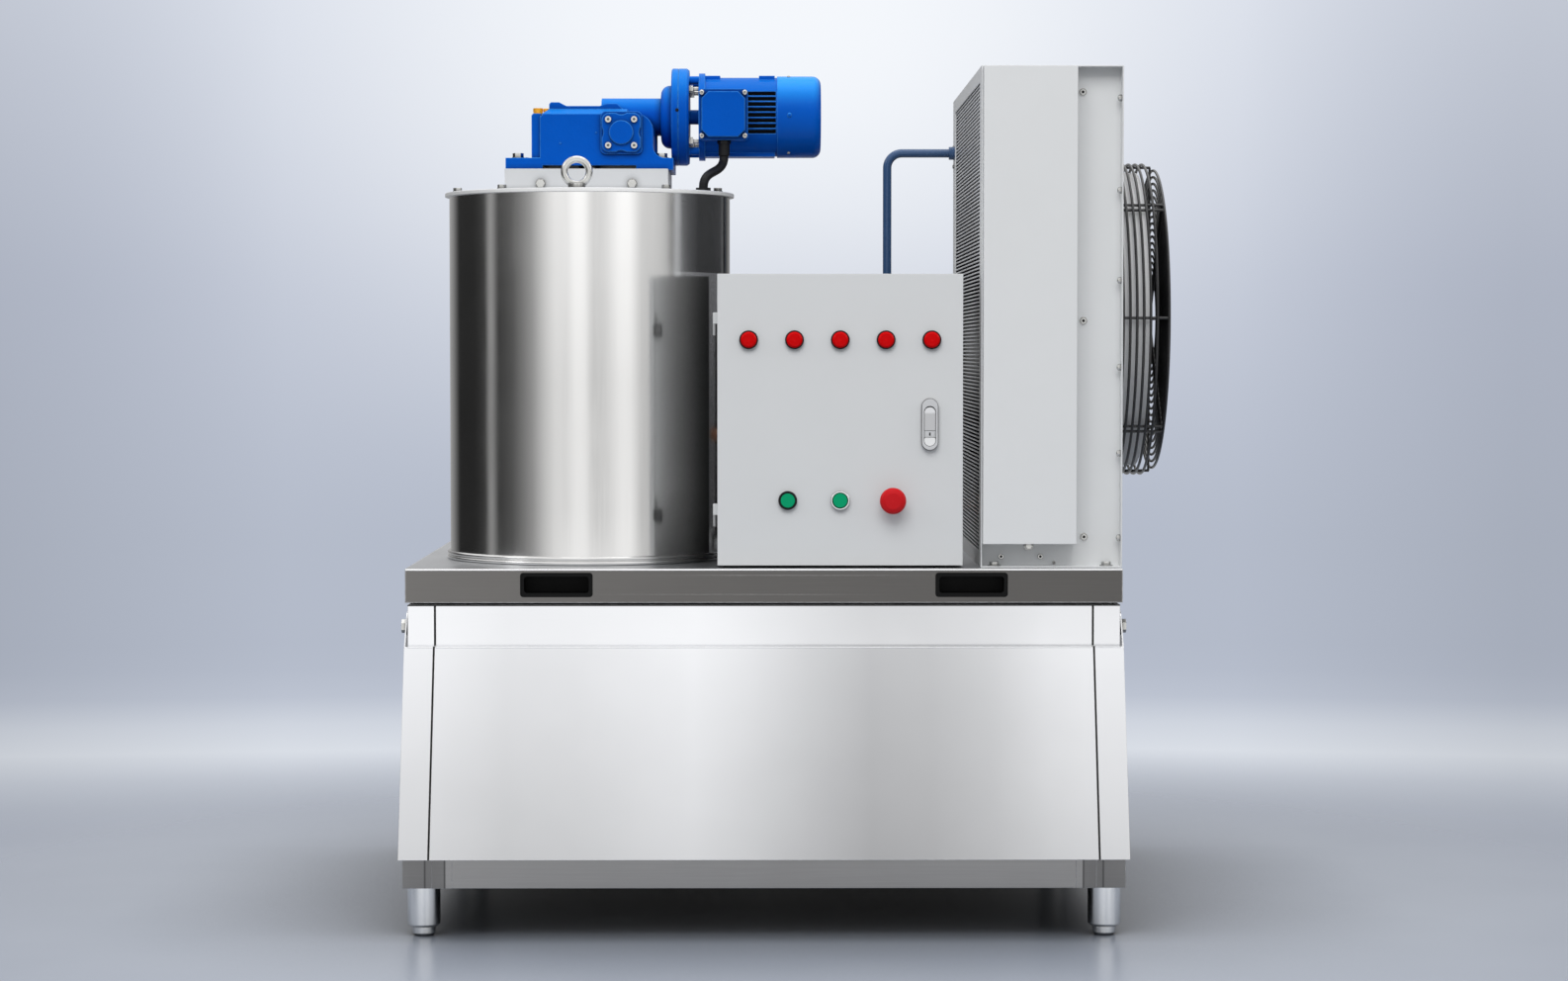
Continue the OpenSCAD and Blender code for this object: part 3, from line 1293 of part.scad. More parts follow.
module latch_lever() color(zinc) difference() {
    along_y(lever_y - lever_t / 2, lever_y + lever_t / 2) {
        translate([latch_x, lever_top - lever_r]) circle(lever_r);
        translate([latch_x - lever_r, lever_top - lever_len]) square([2 * lever_r, lever_len - lever_r]);
    }
    rod_x(latch_x - recess_w, latch_x + recess_w, lever_pin_r + run_fit, lever_y, lever_z);
}
module latch_button() color("white") {
    cap_y = latch_face + 0.4;
    cap_top = key_z0 - lever_side;
    along_y(cap_y, cap_y + latch_cap_t) intersection() {
        translate([latch_x, latch_button_z]) circle(lever_r);
        translate([latch_x - lever_r, cap_top - 2 * lever_r]) square(2 * lever_r);
    }
    rod_y(cap_y + 1, door_front + latch_stem_len - free - latch_travel, latch_stem_r,
        latch_x, latch_button_z);
}

place() base_frame();
place() feet();
place() bin_shell();
place() bin_tub();
place() deck_seal();
place() hood_panel();
place() hood_cheeks();
place() hood_inner_panel();
place() hood_seal();
place() pivot_bolts();
place() deck();
place() recessed_handles();
place() drum_jacket();
place() drum_insulation();
place() freezing_wall();
place() drum_base_ring();
place() drum_lid();
place() bearing_spider();
place() spindle();
place() ice_scraper();
place() water_spreader();
place() eye_bolts();
place() hex_bolts();
place() gearbox_pedestal();
place() gear_housing();
place() bearing_cover();
place() breather_plug();
place() worm_wheel();
place() cross_shaft();
place() motor_adapter();
place() motor_frame();
place() terminal_box();
place() fan_cowl();
place() motor_rotor();
place() conduit();
place() conduit_glands();
place() condenser_casing();
place() condenser_cover();
place() condenser_coil();
place() fan_ring();
place() fan_guard();
place() fan_motor();
place() fan_blades();
place() hot_gas_pipe();
place() compressor();
place() liquid_receiver();
place() pipework();
place() water_tank();
place() control_box();
place() door_hinges();
place() control_door();
place() mounting_plate();
place() lamp_lenses();
place() pilot_bezels();
place() start_button();
place() reset_button();
place() stop_button();
place() latch_body();
place() latch_lever();
place() latch_button();
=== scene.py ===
# %% [markdown]
# # A flake ice machine
# The real machine is a stainless bin on a box-rail frame, with an upright ice drum, its gear motor, a control
# box and a fan-cooled condenser on the tray above. Its solids are already at their real size, so this lesson
# never models the machine again: it gives each surface a finish, and adds the screws, gaskets and folded
# edges that sit on the solids.

# %% Load the solids
import math

import bmesh
import bpy
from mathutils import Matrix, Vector


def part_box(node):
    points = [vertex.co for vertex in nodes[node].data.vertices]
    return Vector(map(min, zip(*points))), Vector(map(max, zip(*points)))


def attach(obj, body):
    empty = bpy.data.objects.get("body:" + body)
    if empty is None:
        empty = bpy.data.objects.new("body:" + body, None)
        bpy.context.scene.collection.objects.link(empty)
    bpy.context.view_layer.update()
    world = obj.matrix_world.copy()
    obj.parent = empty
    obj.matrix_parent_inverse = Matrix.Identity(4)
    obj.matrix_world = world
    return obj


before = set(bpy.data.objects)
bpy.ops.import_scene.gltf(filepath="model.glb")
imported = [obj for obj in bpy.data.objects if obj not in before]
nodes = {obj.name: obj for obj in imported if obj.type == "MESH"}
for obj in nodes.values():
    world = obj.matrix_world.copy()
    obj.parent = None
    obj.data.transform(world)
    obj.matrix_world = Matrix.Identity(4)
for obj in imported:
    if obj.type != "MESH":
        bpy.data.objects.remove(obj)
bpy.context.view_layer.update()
scene = bpy.context.scene

# %% [markdown]
# ## The camera
# A catalogue picture is taken from far away with a long lens, so that upright edges stay upright. The camera
# stands about 5.6 m in front of the machine at chest height and looks down by a little over two degrees. Its
# place was worked out from edges of known length, so it is written as plain metres and degrees.

# %% Camera
CAMERA_AT = (-0.0472, -5.6044, 0.900)
CAMERA_PITCH = -2.38
CAMERA_YAW = -0.39
CAMERA_LENS = 77.2
camera_data = bpy.data.cameras.new("portrait_camera")
camera_data.sensor_width = 36
camera_data.lens = CAMERA_LENS
camera = bpy.data.objects.new("portrait_camera", camera_data)
camera.location = CAMERA_AT
camera.rotation_euler = (math.radians(90 + CAMERA_PITCH), 0, math.radians(CAMERA_YAW))
scene.collection.objects.link(camera)
scene.camera = camera
scene.view_settings.view_transform = "Standard"
print("camera", CAMERA_AT, "lens", CAMERA_LENS, "mm")

# %% [markdown]
# ## A short hand for shader nodes
# Every finish below is a small network of nodes. Writing each one out takes five lines, so one helper makes a
# node, sets its choices and feeds its sockets. A value that is itself a socket becomes a link.

# %% Node helpers
def add(tree, kind, inputs=None, **choices):
    made = tree.nodes.new("ShaderNode" + kind)
    for name, value in choices.items():
        setattr(made, name, value)
    for name, value in (inputs or {}).items():
        if isinstance(value, bpy.types.NodeSocket):
            tree.links.new(value, made.inputs[name])
        else:
            made.inputs[name].default_value = value
    return made


def maths(tree, operation, *values):
    return add(tree, "Math", dict(enumerate(values)), operation=operation).outputs[0]


def ramp(tree, factor, stops):
    made = add(tree, "ValToRGB", {0: factor})
    elements = made.color_ramp.elements
    while len(elements) < len(stops):
        elements.new(0.5)
    for element, (place, colour) in zip(elements, stops):
        element.position = place
        element.color = (*colour, 1)
    return made.outputs["Color"]


def grey(value, tint=(1.0, 1.0, 1.0)):
    return tuple(value * part for part in tint)


print("helpers ready")

# %% [markdown]
# ## The studio
# Polished steel has hardly any colour of its own: it shows the room. So the room is drawn first. Looking
# forward the camera sees a pale wall. Behind the camera, where the steel looks, there is a bright front with
# dark flags at both sides, which give the drum its black and white bands, and a soft ceiling that the sloping
# hood reflects. Rays that only light the machine get a plain pale dome instead, so the pattern of the room
# never tints a painted surface.

# %% Room values
# Brightness of the room by compass turn, from straight behind the machine, round by the left to the front at
# one half, and on by the right
ROOM_BY_TURN = [
    (0.00, 0.50), (0.09, 0.22), (0.13, 0.02), (0.205, 0.02), (0.245, 0.04), (0.257, 0.30), (0.266, 0.30),
    (0.284, 0.04), (0.325, 0.09), (0.35, 0.19), (0.377, 0.33), (0.404, 0.62), (0.43, 0.84), (0.455, 0.80),
    (0.475, 1.0), (0.495, 1.0), (0.512, 0.66), (0.54, 0.70), (0.575, 1.0), (0.60, 1.0), (0.625, 0.62),
    (0.66, 0.60), (0.685, 0.50), (0.705, 0.16), (0.74, 0.04), (0.79, 0.02), (0.91, 0.01), (0.95, 0.30),
    (1.00, 0.50),
]
# The ceiling that leaning and level faces reflect, by height of the look from straight down to straight up
CEILING_BY_HEIGHT = [(0.50, 0.50), (0.62, 0.30), (0.66, 0.40), (0.72, 1.0), (0.95, 1.0), (1.00, 0.80)]
CEILING_RISE = (0.22, 0.42)
# Just under the camera the front is white, which is what the upright band of the bin reflects
LOW_FRONT_SINK = (-0.055, -0.075)
LOW_FRONT_TURN = (0.04, 0.08)
# The wall that the camera sees, with a lighter line where it meets the floor
WALL_BY_HEIGHT = [
    (0.400, (0.415, 0.450, 0.530)), (0.431, (0.430, 0.465, 0.545)), (0.437, (0.540, 0.575, 0.645)),
    (0.441, (0.680, 0.715, 0.775)), (0.4438, (0.680, 0.715, 0.775)), (0.4465, (0.560, 0.600, 0.680)),
    (0.450, (0.475, 0.515, 0.605)), (0.455, (0.445, 0.485, 0.575)), (0.473, (0.450, 0.490, 0.580)),
    (0.510, (0.490, 0.530, 0.630)), (0.560, (0.660, 0.700, 0.790)),
]
WALL_GLOW = (0.89, 0.915, 0.955)
GLOW_ACROSS = (0.02, 0.21)
GLOW_UPWARD = (-0.06, 0.10)
WALL_SIDES = (0.14, 0.22)
WALL_MIDDLE_TONE, WALL_SIDE_TONE = 1.02, 0.86
DOME_BY_HEIGHT = [(0.0, 0.12), (0.50, 0.28), (0.62, 0.56), (1.0, 0.82)]
DOME_TINT = (0.97, 0.985, 1.02)
WHITE = (1, 1, 1, 1)
print("room:", len(ROOM_BY_TURN), "bands by turn,", len(WALL_BY_HEIGHT), "wall tones by height")


# %% Room helpers
def greys(stops, tint=(1.0, 1.0, 1.0)):
    return [(place, grey(level, tint)) for place, level in stops]


def eased(tree, value, start, stop, low=0.0, high=1.0, way="SMOOTHSTEP"):
    return add(tree, "MapRange", {0: value, 1: start, 2: stop, 3: low, 4: high}, interpolation_type=way).outputs[0]


def blended(tree, share, first, second, way="MIX"):
    return add(tree, "Mix", {0: share, 6: first, 7: second}, data_type="RGBA", blend_type=way).outputs[2]


def room_for_steel(tree, turn, height, z):
    """The bands, the ceiling above them and the white front just under the camera."""
    bands = ramp(tree, turn, greys(ROOM_BY_TURN))
    ceiling = ramp(tree, height, greys(CEILING_BY_HEIGHT))
    view = blended(tree, eased(tree, z, *CEILING_RISE), bands, ceiling)
    sink = eased(tree, z, *LOW_FRONT_SINK, way="LINEAR")
    aside = maths(tree, "ABSOLUTE", maths(tree, "SUBTRACT", turn, 0.5))
    facing = eased(tree, aside, *LOW_FRONT_TURN, 1.0, 0.0, way="LINEAR")
    return blended(tree, maths(tree, "MULTIPLY", sink, facing), view, WHITE)


def wall_for_camera(tree, height, x, z):
    """The wall by height, with a glow above the machine and duller sides."""
    aside = maths(tree, "ABSOLUTE", x)
    across = eased(tree, aside, *GLOW_ACROSS, 1.0, 0.0)
    glow = maths(tree, "MULTIPLY", across, eased(tree, z, *GLOW_UPWARD))
    wall = blended(tree, glow, ramp(tree, height, WALL_BY_HEIGHT), (*WALL_GLOW, 1))
    tone = eased(tree, aside, *WALL_SIDES, WALL_MIDDLE_TONE, WALL_SIDE_TONE, way="LINEAR")
    return blended(tree, 1.0, wall, tone, "MULTIPLY")


print("room helpers ready")


# %% Studio room
def studio_room():
    world = bpy.data.worlds.new("studio_room")
    world.use_nodes = True
    tree = world.node_tree
    tree.nodes.clear()
    look = add(tree, "TexCoord").outputs["Generated"]
    x, y, z = add(tree, "SeparateXYZ", {0: look}).outputs
    turn = maths(tree, "ARCTAN2", x, maths(tree, "MULTIPLY", y, -1.0))
    turn = maths(tree, "MULTIPLY_ADD", turn, 0.5 / math.pi, 0.5)
    height = maths(tree, "MULTIPLY_ADD", z, 0.5, 0.5)
    path = add(tree, "LightPath").outputs
    seen = maths(tree, "MAXIMUM", path["Is Camera Ray"], path["Is Transmission Ray"])
    picture = blended(tree, seen, room_for_steel(tree, turn, height, z), wall_for_camera(tree, height, x, z))
    shown = maths(tree, "MAXIMUM", seen, path["Is Glossy Ray"])
    dome_colour = ramp(tree, height, greys(DOME_BY_HEIGHT, DOME_TINT))
    dome = add(tree, "Background", {"Color": dome_colour, "Strength": 1.0})
    drawn = add(tree, "Background", {"Color": picture, "Strength": 1.0})
    mixed = add(tree, "MixShader", {0: shown, 1: dome.outputs[0], 2: drawn.outputs[0]})
    add(tree, "OutputWorld", {"Surface": mixed.outputs[0]})
    scene.world = world
    return world


print("world:", studio_room().name)

# %% [markdown]
# ## Soft boxes and floor
# Large soft boxes light the machine at a plain level, so a colour renders about as it is written. The front
# one is kept out of reflections, because the hood leans so that it would mirror it as one white patch. The
# floor is a pale disc whose rim fades out, because a hard horizon would show in every other view. It darkens
# where the machine covers it, since little light finds its way under a bin that stands so low.

# %% Soft boxes
AIM = Vector((0.0, 0.0, 0.7))


def soft_box(name, at, size, watts, mirrored=True):
    data = bpy.data.lights.new(name, "AREA")
    data.shape = "RECTANGLE"
    data.size, data.size_y = size
    data.energy = watts
    lamp = bpy.data.objects.new(name, data)
    lamp.location = at
    lamp.rotation_euler = (AIM - Vector(at)).to_track_quat("-Z", "Y").to_euler()
    lamp.visible_glossy = mirrored
    scene.collection.objects.link(lamp)
    return lamp


soft_boxes = [
    soft_box("front_soft_box", (-0.4, -3.9, 4.6), (4.2, 3.0), 162, mirrored=False),
    soft_box("left_soft_box", (-4.4, -2.2, 3.0), (1.4, 2.4), 14),
    soft_box("right_soft_box", (4.6, -1.6, 3.0), (1.4, 2.4), 16),
    soft_box("top_soft_box", (0.0, 0.4, 4.6), (2.6, 2.6), 30),
]
print("soft boxes:", [lamp.name for lamp in soft_boxes])

# %% Floor
FLOOR_RADIUS = 3.4
FLOOR_FADE = (0.9, 2.2)
FLOOR_COVER, FLOOR_COVER_POWER = 0.5, 1.6
FLOOR_PALE = [(0.3, (0.355, 0.39, 0.455)), (0.7, (0.395, 0.43, 0.495))]
FLOOR_DARK = (0.01, 0.011, 0.013, 1)
FLOOR_ROUGH = 0.27


def floor_paint():
    material = bpy.data.materials.new("floor_paint")
    material.use_nodes = True
    tree = material.node_tree
    shader = tree.nodes["Principled BSDF"]
    shader.inputs["Roughness"].default_value = FLOOR_ROUGH
    place = add(tree, "TexCoord").outputs["Object"]
    cloud = add(tree, "TexNoise", {"Vector": place, "Scale": 1.3, "Detail": 3.0}).outputs["Fac"]
    covered = add(tree, "AmbientOcclusion", {"Distance": FLOOR_COVER}, samples=16).outputs["AO"]
    covered = maths(tree, "POWER", covered, FLOOR_COVER_POWER)
    shade = blended(tree, covered, FLOOR_DARK, ramp(tree, cloud, FLOOR_PALE))
    tree.links.new(shade, shader.inputs["Base Color"])
    tree.links.new(maths(tree, "MULTIPLY", covered, 0.5), shader.inputs["Specular IOR Level"])
    away = add(tree, "VectorMath", {0: place}, operation="LENGTH").outputs["Value"]
    tree.links.new(eased(tree, away, *FLOOR_FADE, 1.0, 0.0), shader.inputs["Alpha"])
    return material


def floor_disc():
    mesh = bpy.data.meshes.new("floor")
    form = bmesh.new()
    bmesh.ops.create_circle(form, cap_ends=True, segments=96, radius=FLOOR_RADIUS)
    form.to_mesh(mesh)
    form.free()
    floor = bpy.data.objects.new("floor", mesh)
    mesh.materials.append(floor_paint())
    scene.collection.objects.link(floor)
    return floor


print("floor:", floor_disc().name, "radius", FLOOR_RADIUS, "m")

# %% [markdown]
# ## Effects that many finishes share
# A few things make a sheet-metal machine look real: fine brush lines, slow waves in thin sheet, the fine skin
# of sprayed paint, edges that are never quite sharp, and corners that light hardly reaches. Each is a node
# group, built once, with its own values in every finish. The groups only give out masks, values and normals;
# the shader stays outside. One more group measures where on the machine a point lies.

# %% Group maker
def new_group(name, inputs, outputs):
    group = bpy.data.node_groups.new(name, "ShaderNodeTree")
    for socket, kind, value in inputs:
        made = group.interface.new_socket(socket, in_out="INPUT", socket_type="NodeSocket" + kind)
        made.default_value = value
    for socket, kind in outputs:
        group.interface.new_socket(socket, in_out="OUTPUT", socket_type="NodeSocket" + kind)
    return group, group.nodes.new("NodeGroupInput").outputs, group.nodes.new("NodeGroupOutput").inputs


def placed(tree, group, **inputs):
    made = tree.nodes.new("ShaderNodeGroup")
    made.node_tree = group
    for name, value in inputs.items():
        socket = made.inputs[name.replace("_", " ")]
        if isinstance(value, bpy.types.NodeSocket):
            tree.links.new(value, socket)
        else:
            socket.default_value = value
    return made.outputs


# %% Brush lines and sheet waves
def brush_lines_group():
    """Streaks along one axis: noise squeezed hard across the brushing and hardly along it."""
    group, given, out = new_group(
        "brush_lines", [("Squeeze", "Vector", (9.0, 700.0, 700.0))], [("Streaks", "Float"), ("Clouds", "Float")])
    place = add(group, "TexCoord").outputs["Object"]
    squeezed = add(group, "VectorMath", {0: place, 1: given["Squeeze"]}, operation="MULTIPLY").outputs[0]
    fine = add(group, "TexNoise", {"Vector": squeezed, "Scale": 1.0, "Detail": 3.0, "Roughness": 0.65})
    clouds = add(group, "TexNoise", {"Vector": place, "Scale": 7.0, "Detail": 3.0, "Roughness": 0.55})
    group.links.new(fine.outputs["Fac"], out["Streaks"])
    group.links.new(clouds.outputs["Fac"], out["Clouds"])
    return group


def sheet_waves_group():
    """The slow bow of thin sheet between its folds, as a height in metres."""
    group, given, out = new_group("sheet_waves", [("Per Metre", "Float", 3.0), ("Depth", "Float", 0.001)],
                                  [("Height", "Float")])
    place = add(group, "TexCoord").outputs["Object"]
    slow = add(group, "TexNoise", {"Vector": place, "Scale": given["Per Metre"], "Detail": 1.0}).outputs["Fac"]
    group.links.new(maths(group, "MULTIPLY", slow, given["Depth"]), out["Height"])
    return group


brush_lines = brush_lines_group()
sheet_waves = sheet_waves_group()
print("groups:", brush_lines.name, sheet_waves.name)


# %% Paint skin and soft edges
def paint_skin_group():
    """The pebbled skin that sprayed paint dries to, with slow patches of duller gloss."""
    group, given, out = new_group("paint_skin", [("Grain Per Metre", "Float", 900.0), ("Depth", "Float", 0.00005)],
                                  [("Height", "Float"), ("Patches", "Float")])
    place = add(group, "TexCoord").outputs["Object"]
    grain = add(group, "TexNoise", {"Vector": place, "Scale": given["Grain Per Metre"], "Detail": 2.0})
    patches = add(group, "TexNoise", {"Vector": place, "Scale": 11.0, "Detail": 4.0, "Roughness": 0.6})
    group.links.new(maths(group, "MULTIPLY", grain.outputs["Fac"], given["Depth"]), out["Height"])
    group.links.new(patches.outputs["Fac"], out["Patches"])
    return group


def soft_edges_group():
    """A normal that rolls over each edge, and a mask of where it does so, broken up by fine noise."""
    group, given, out = new_group("soft_edges", [("Radius", "Float", 0.0015)],
                                  [("Normal", "Vector"), ("Edge", "Float")])
    rolled = add(group, "Bevel", {"Radius": given["Radius"]}, samples=6).outputs["Normal"]
    flat = add(group, "NewGeometry").outputs["Normal"]
    agree = add(group, "VectorMath", {0: rolled, 1: flat}, operation="DOT_PRODUCT").outputs["Value"]
    place = add(group, "TexCoord").outputs["Object"]
    broken = add(group, "TexNoise", {"Vector": place, "Scale": 120.0, "Detail": 3.0}).outputs["Fac"]
    edge = add(group, "MapRange", {0: agree, 1: 0.995, 2: 0.80, 3: 0.0, 4: 1.0}).outputs[0]
    group.links.new(rolled, out["Normal"])
    group.links.new(maths(group, "MULTIPLY", edge, broken), out["Edge"])
    return group


paint_skin = paint_skin_group()
soft_edges = soft_edges_group()
print("groups:", paint_skin.name, soft_edges.name)


# %% Corners, level faces and measures
TRAY_LOW, TRAY_HIGH = (Vector(corner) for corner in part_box("deck"))
TRAY_MIDDLE = (TRAY_LOW.x + TRAY_HIGH.x) / 2
MOTOR_AXIS = (-0.0086, 1.2865)
ABOVE_BOX = (1.008, 1.026)
LEVEL = 0.7


def closed_corners_group():
    """How open a place is to light: near 1 on open faces, less where something stands within reach."""
    group, given, out = new_group("closed_corners", [("Reach", "Float", 0.01), ("Power", "Float", 1.0)],
                                  [("Open", "Float")])
    share = add(group, "AmbientOcclusion", {"Distance": given["Reach"]}, samples=8).outputs["AO"]
    group.links.new(maths(group, "POWER", share, given["Power"]), out["Open"])
    return group


def level_faces_group():
    """A mask of the faces that look up."""
    group, _, out = new_group("level_faces", [], [("Level", "Float")])
    up = add(group, "SeparateXYZ", {0: add(group, "TexCoord").outputs["Normal"]}).outputs["Z"]
    group.links.new(maths(group, "GREATER_THAN", up, LEVEL), out["Level"])
    return group


def measures_group():
    """Distances in metres: across and outward from the tray's middle, back, up, and out from the motor's axis."""
    names = ("Across", "Outward", "Backward", "Upward", "From Motor", "Across High")
    group, _, out = new_group("measures", [], [(name, "Float") for name in names])
    x, y, z = add(group, "SeparateXYZ", {0: add(group, "TexCoord").outputs["Object"]}).outputs
    across = maths(group, "SUBTRACT", x, TRAY_MIDDLE)
    back = maths(group, "SUBTRACT", y, MOTOR_AXIS[0])
    above = maths(group, "SUBTRACT", z, MOTOR_AXIS[1])
    squares = maths(group, "ADD", maths(group, "MULTIPLY", back, back), maths(group, "MULTIPLY", above, above))
    # Above the control box this is the distance across; below it everything counts as far left
    high = eased(group, z, *ABOVE_BOX, way="LINEAR")
    across_high = maths(group, "MULTIPLY_ADD", maths(group, "ADD", across, 1.0), high, -1.0)
    values = (across, maths(group, "ABSOLUTE", across), y, z, maths(group, "SQRT", squares), across_high)
    for name, value in zip(names, values):
        group.links.new(value, out[name])
    return group


closed_corners = closed_corners_group()
level_faces = level_faces_group()
measures = measures_group()
print("groups:", closed_corners.name, level_faces.name, measures.name)

# %% [markdown]
# ## Steel finishes
# The machine is nearly all stainless, but in four looks. The bin and hood are satin sheet that bows a little
# between its folds. The tray and frame are the same steel seen against the dark, so they are written darker.
# The drum is rolled from polished sheet and mirrors the room. Turned parts carry a fine, even grain.
# One function makes them all; only the colour, the gloss and the direction of the brush change.

# %% Finish tools
def finish(name, colour, rough, metal=0.0):
    material = bpy.data.materials.new(name)
    material.use_nodes = True
    shader = material.node_tree.nodes["Principled BSDF"]
    shader.inputs["Base Color"].default_value = (*colour, 1)
    shader.inputs["Roughness"].default_value = rough
    shader.inputs["Metallic"].default_value = metal
    return material, material.node_tree, shader


def bumped(tree, shader, height, normal):
    bump = add(tree, "Bump", {"Strength": 1.0, "Distance": 1.0, "Height": height, "Normal": normal})
    tree.links.new(bump.outputs["Normal"], shader.inputs["Normal"])


print("finish tools ready")

# %% Steel
# How hard the brush lines are squeezed along x, y and z
ACROSS = (9.0, 700.0, 700.0)
UPRIGHT = (700.0, 700.0, 7.0)
FINE = (420.0, 420.0, 420.0)
EDGE_SHARE = 0.5
CLOUD_ROUGH, STREAK_ROUGH = 0.16, 0.10
STREAK_DEPTH = 0.000002
STEEL_TINT = (0.965, 0.975, 1.0)
POLISHED, ZINC = (0.93, 0.93, 0.92), (0.70, 0.70, 0.68)
LID_METAL = 0.35


def steel(name, colour, rough, brush, wave_depth=0.0, waves_per_metre=3.0, edge=0.0012, contrast=0.10):
    material, tree, shader = finish(name, colour, rough, 1.0)
    lines = placed(tree, brush_lines, Squeeze=brush)
    edges = placed(tree, soft_edges, Radius=edge)
    # Painted highlight: the edge mask lightens the colour along every edge, on top of the brush streaks
    tone = maths(tree, "ADD", lines["Streaks"], maths(tree, "MULTIPLY", edges["Edge"], EDGE_SHARE))
    dark, light = (*grey(1 - contrast, colour), 1), (*grey(1 + contrast, colour), 1)
    tree.links.new(blended(tree, tone, dark, light), shader.inputs["Base Color"])
    dull = maths(tree, "MULTIPLY_ADD", lines["Clouds"], CLOUD_ROUGH, rough - CLOUD_ROUGH / 2)
    dull = maths(tree, "MULTIPLY_ADD", lines["Streaks"], STREAK_ROUGH, dull)
    tree.links.new(maths(tree, "SUBTRACT", dull, STREAK_ROUGH / 2), shader.inputs["Roughness"])
    bow = placed(tree, sheet_waves, Per_Metre=waves_per_metre, Depth=wave_depth)["Height"]
    bumped(tree, shader, maths(tree, "MULTIPLY_ADD", lines["Streaks"], STREAK_DEPTH, bow), edges["Normal"])
    return material


hood_steel = steel("hood_steel", grey(0.97, STEEL_TINT), 0.20, ACROSS, 0.003, 2.2, contrast=0.03)
band_steel = steel("band_steel", grey(0.98, STEEL_TINT), 0.13, ACROSS, 0.0015, 3.0, contrast=0.03)
liner_steel = steel("liner_steel", grey(0.80, STEEL_TINT), 0.32, ACROSS, 0.002, 3.0, contrast=0.06)
tray_steel = steel("tray_steel", (0.150, 0.145, 0.140), 0.34, ACROSS, 0.0015, 3.0)
frame_steel = steel("frame_steel", (0.36, 0.352, 0.345), 0.34, ACROSS, 0.001, 4.0)
drum_steel = steel("drum_steel", (0.99, 0.985, 0.975), 0.14, UPRIGHT, 0.0012, 3.0, contrast=0.04)
lid_steel = steel("lid_steel", POLISHED, 0.45, FINE)
foot_steel = steel("foot_steel", POLISHED, 0.18, UPRIGHT, contrast=0.08)
turned_steel = steel("turned_steel", (0.55, 0.56, 0.57), 0.28, FINE)
scraper_steel = steel("scraper_steel", (0.62, 0.63, 0.64), 0.30, UPRIGHT)
zinc_plate = steel("zinc_plate", ZINC, 0.24, FINE, edge=0.0006, contrast=0.16)
rack_zinc = steel("rack_zinc", ZINC, 0.30, FINE)
hem_steel = steel("hem_steel", (0.97, 0.975, 0.98), 0.15, ACROSS, contrast=0.03)
chrome_satin = steel("chrome_satin", (0.80, 0.80, 0.81), 0.20, UPRIGHT, edge=0.0008)
copper_tube = steel("copper_tube", (0.78, 0.40, 0.25), 0.24, FINE, contrast=0.2)
wheel_bronze = steel("wheel_bronze", (0.72, 0.52, 0.22), 0.28, FINE)
# The lid is blasted, so it scatters light as well as mirroring it
lid_steel.node_tree.nodes["Principled BSDF"].inputs["Metallic"].default_value = LID_METAL
print("metals ready, last:", wheel_bronze.name)

# %% [markdown]
# ## Painted castings and sheet
# The gear housing and motor wear a thick bright blue gloss over rough castings, so two grains are laid over
# each other: the pebbled skin of the paint and the broader pitting of the sand mould beneath. The control
# box and the condenser have a smooth pale powder coat. Edges are painted a little paler, as a painted highlight.

# %% Paint
EDGE_TONE, BODY_TONE = 1.1, 0.94
PATCH_ROUGH, COAT_ROUGH = 0.14, 0.08
CAST_GRAIN = 160.0
SKY_FACES = (0.1, 0.95)


def paint(name, colour, rough, skin=0.00004, grain=900.0, edge=0.0015, coat=0.0, edge_gain=1.25, cast=0.0,
          shine=0.5, sky=None, mottle=0.6):
    material, tree, shader = finish(name, colour, rough)
    shader.inputs["Coat Weight"].default_value = coat
    shader.inputs["Specular IOR Level"].default_value = shine
    shader.inputs["Coat Roughness"].default_value = COAT_ROUGH
    surface = placed(tree, paint_skin, Grain_Per_Metre=grain, Depth=skin)
    edges = placed(tree, soft_edges, Radius=edge)
    # Painted highlight: edges are mixed towards the paler edge colour
    rim = maths(tree, "MULTIPLY", edges["Edge"], EDGE_TONE)
    tone = maths(tree, "MULTIPLY_ADD", surface["Patches"], mottle, rim)
    body = blended(tree, tone, (*grey(BODY_TONE, colour), 1), (*grey(edge_gain, colour), 1))
    # Painted light: faces that look up are mixed towards the paler sky colour
    if sky:
        up = add(tree, "SeparateXYZ", {0: edges["Normal"]}).outputs["Z"]
        body = blended(tree, eased(tree, up, *SKY_FACES), body, (*sky, 1))
    tree.links.new(body, shader.inputs["Base Color"])
    dull = maths(tree, "MULTIPLY_ADD", surface["Patches"], PATCH_ROUGH, rough - PATCH_ROUGH / 2)
    tree.links.new(dull, shader.inputs["Roughness"])
    height = surface["Height"]
    if cast:
        pits = placed(tree, paint_skin, Grain_Per_Metre=CAST_GRAIN, Depth=cast)["Height"]
        height = maths(tree, "ADD", height, pits)
    bumped(tree, shader, height, edges["Normal"])
    return material


print("paint ready")

# %% Blues
BLUE, SHEET_BLUE = (0.001, 0.080, 0.44), (0.001, 0.085, 0.46)
# Painted light: faces that look up are painted paler, as lit from above: on the cowl, the gear housing and the
# motor frame
COWL_TOP, HOUSING_TOP, FRAME_TOP = (0.02, 0.30, 0.84), (0.006, 0.19, 0.66), (0.003, 0.135, 0.56)
cast_blue = paint("cast_blue", BLUE, 0.32, 0.00005, 700.0, 0.003, 0.02, 1.5, 0.0003, 0.04, HOUSING_TOP)
motor_blue = paint("motor_blue", BLUE, 0.32, 0.00005, 700.0, 0.002, 0.02, 1.5, 0.0002, 0.04, FRAME_TOP)
sheet_blue = paint("sheet_blue", SHEET_BLUE, 0.26, 0.00002, 900.0, 0.0025, 0.04, 1.4, 0.0, 0.05, COWL_TOP)
print("blues:", cast_blue.name, motor_blue.name, sheet_blue.name)

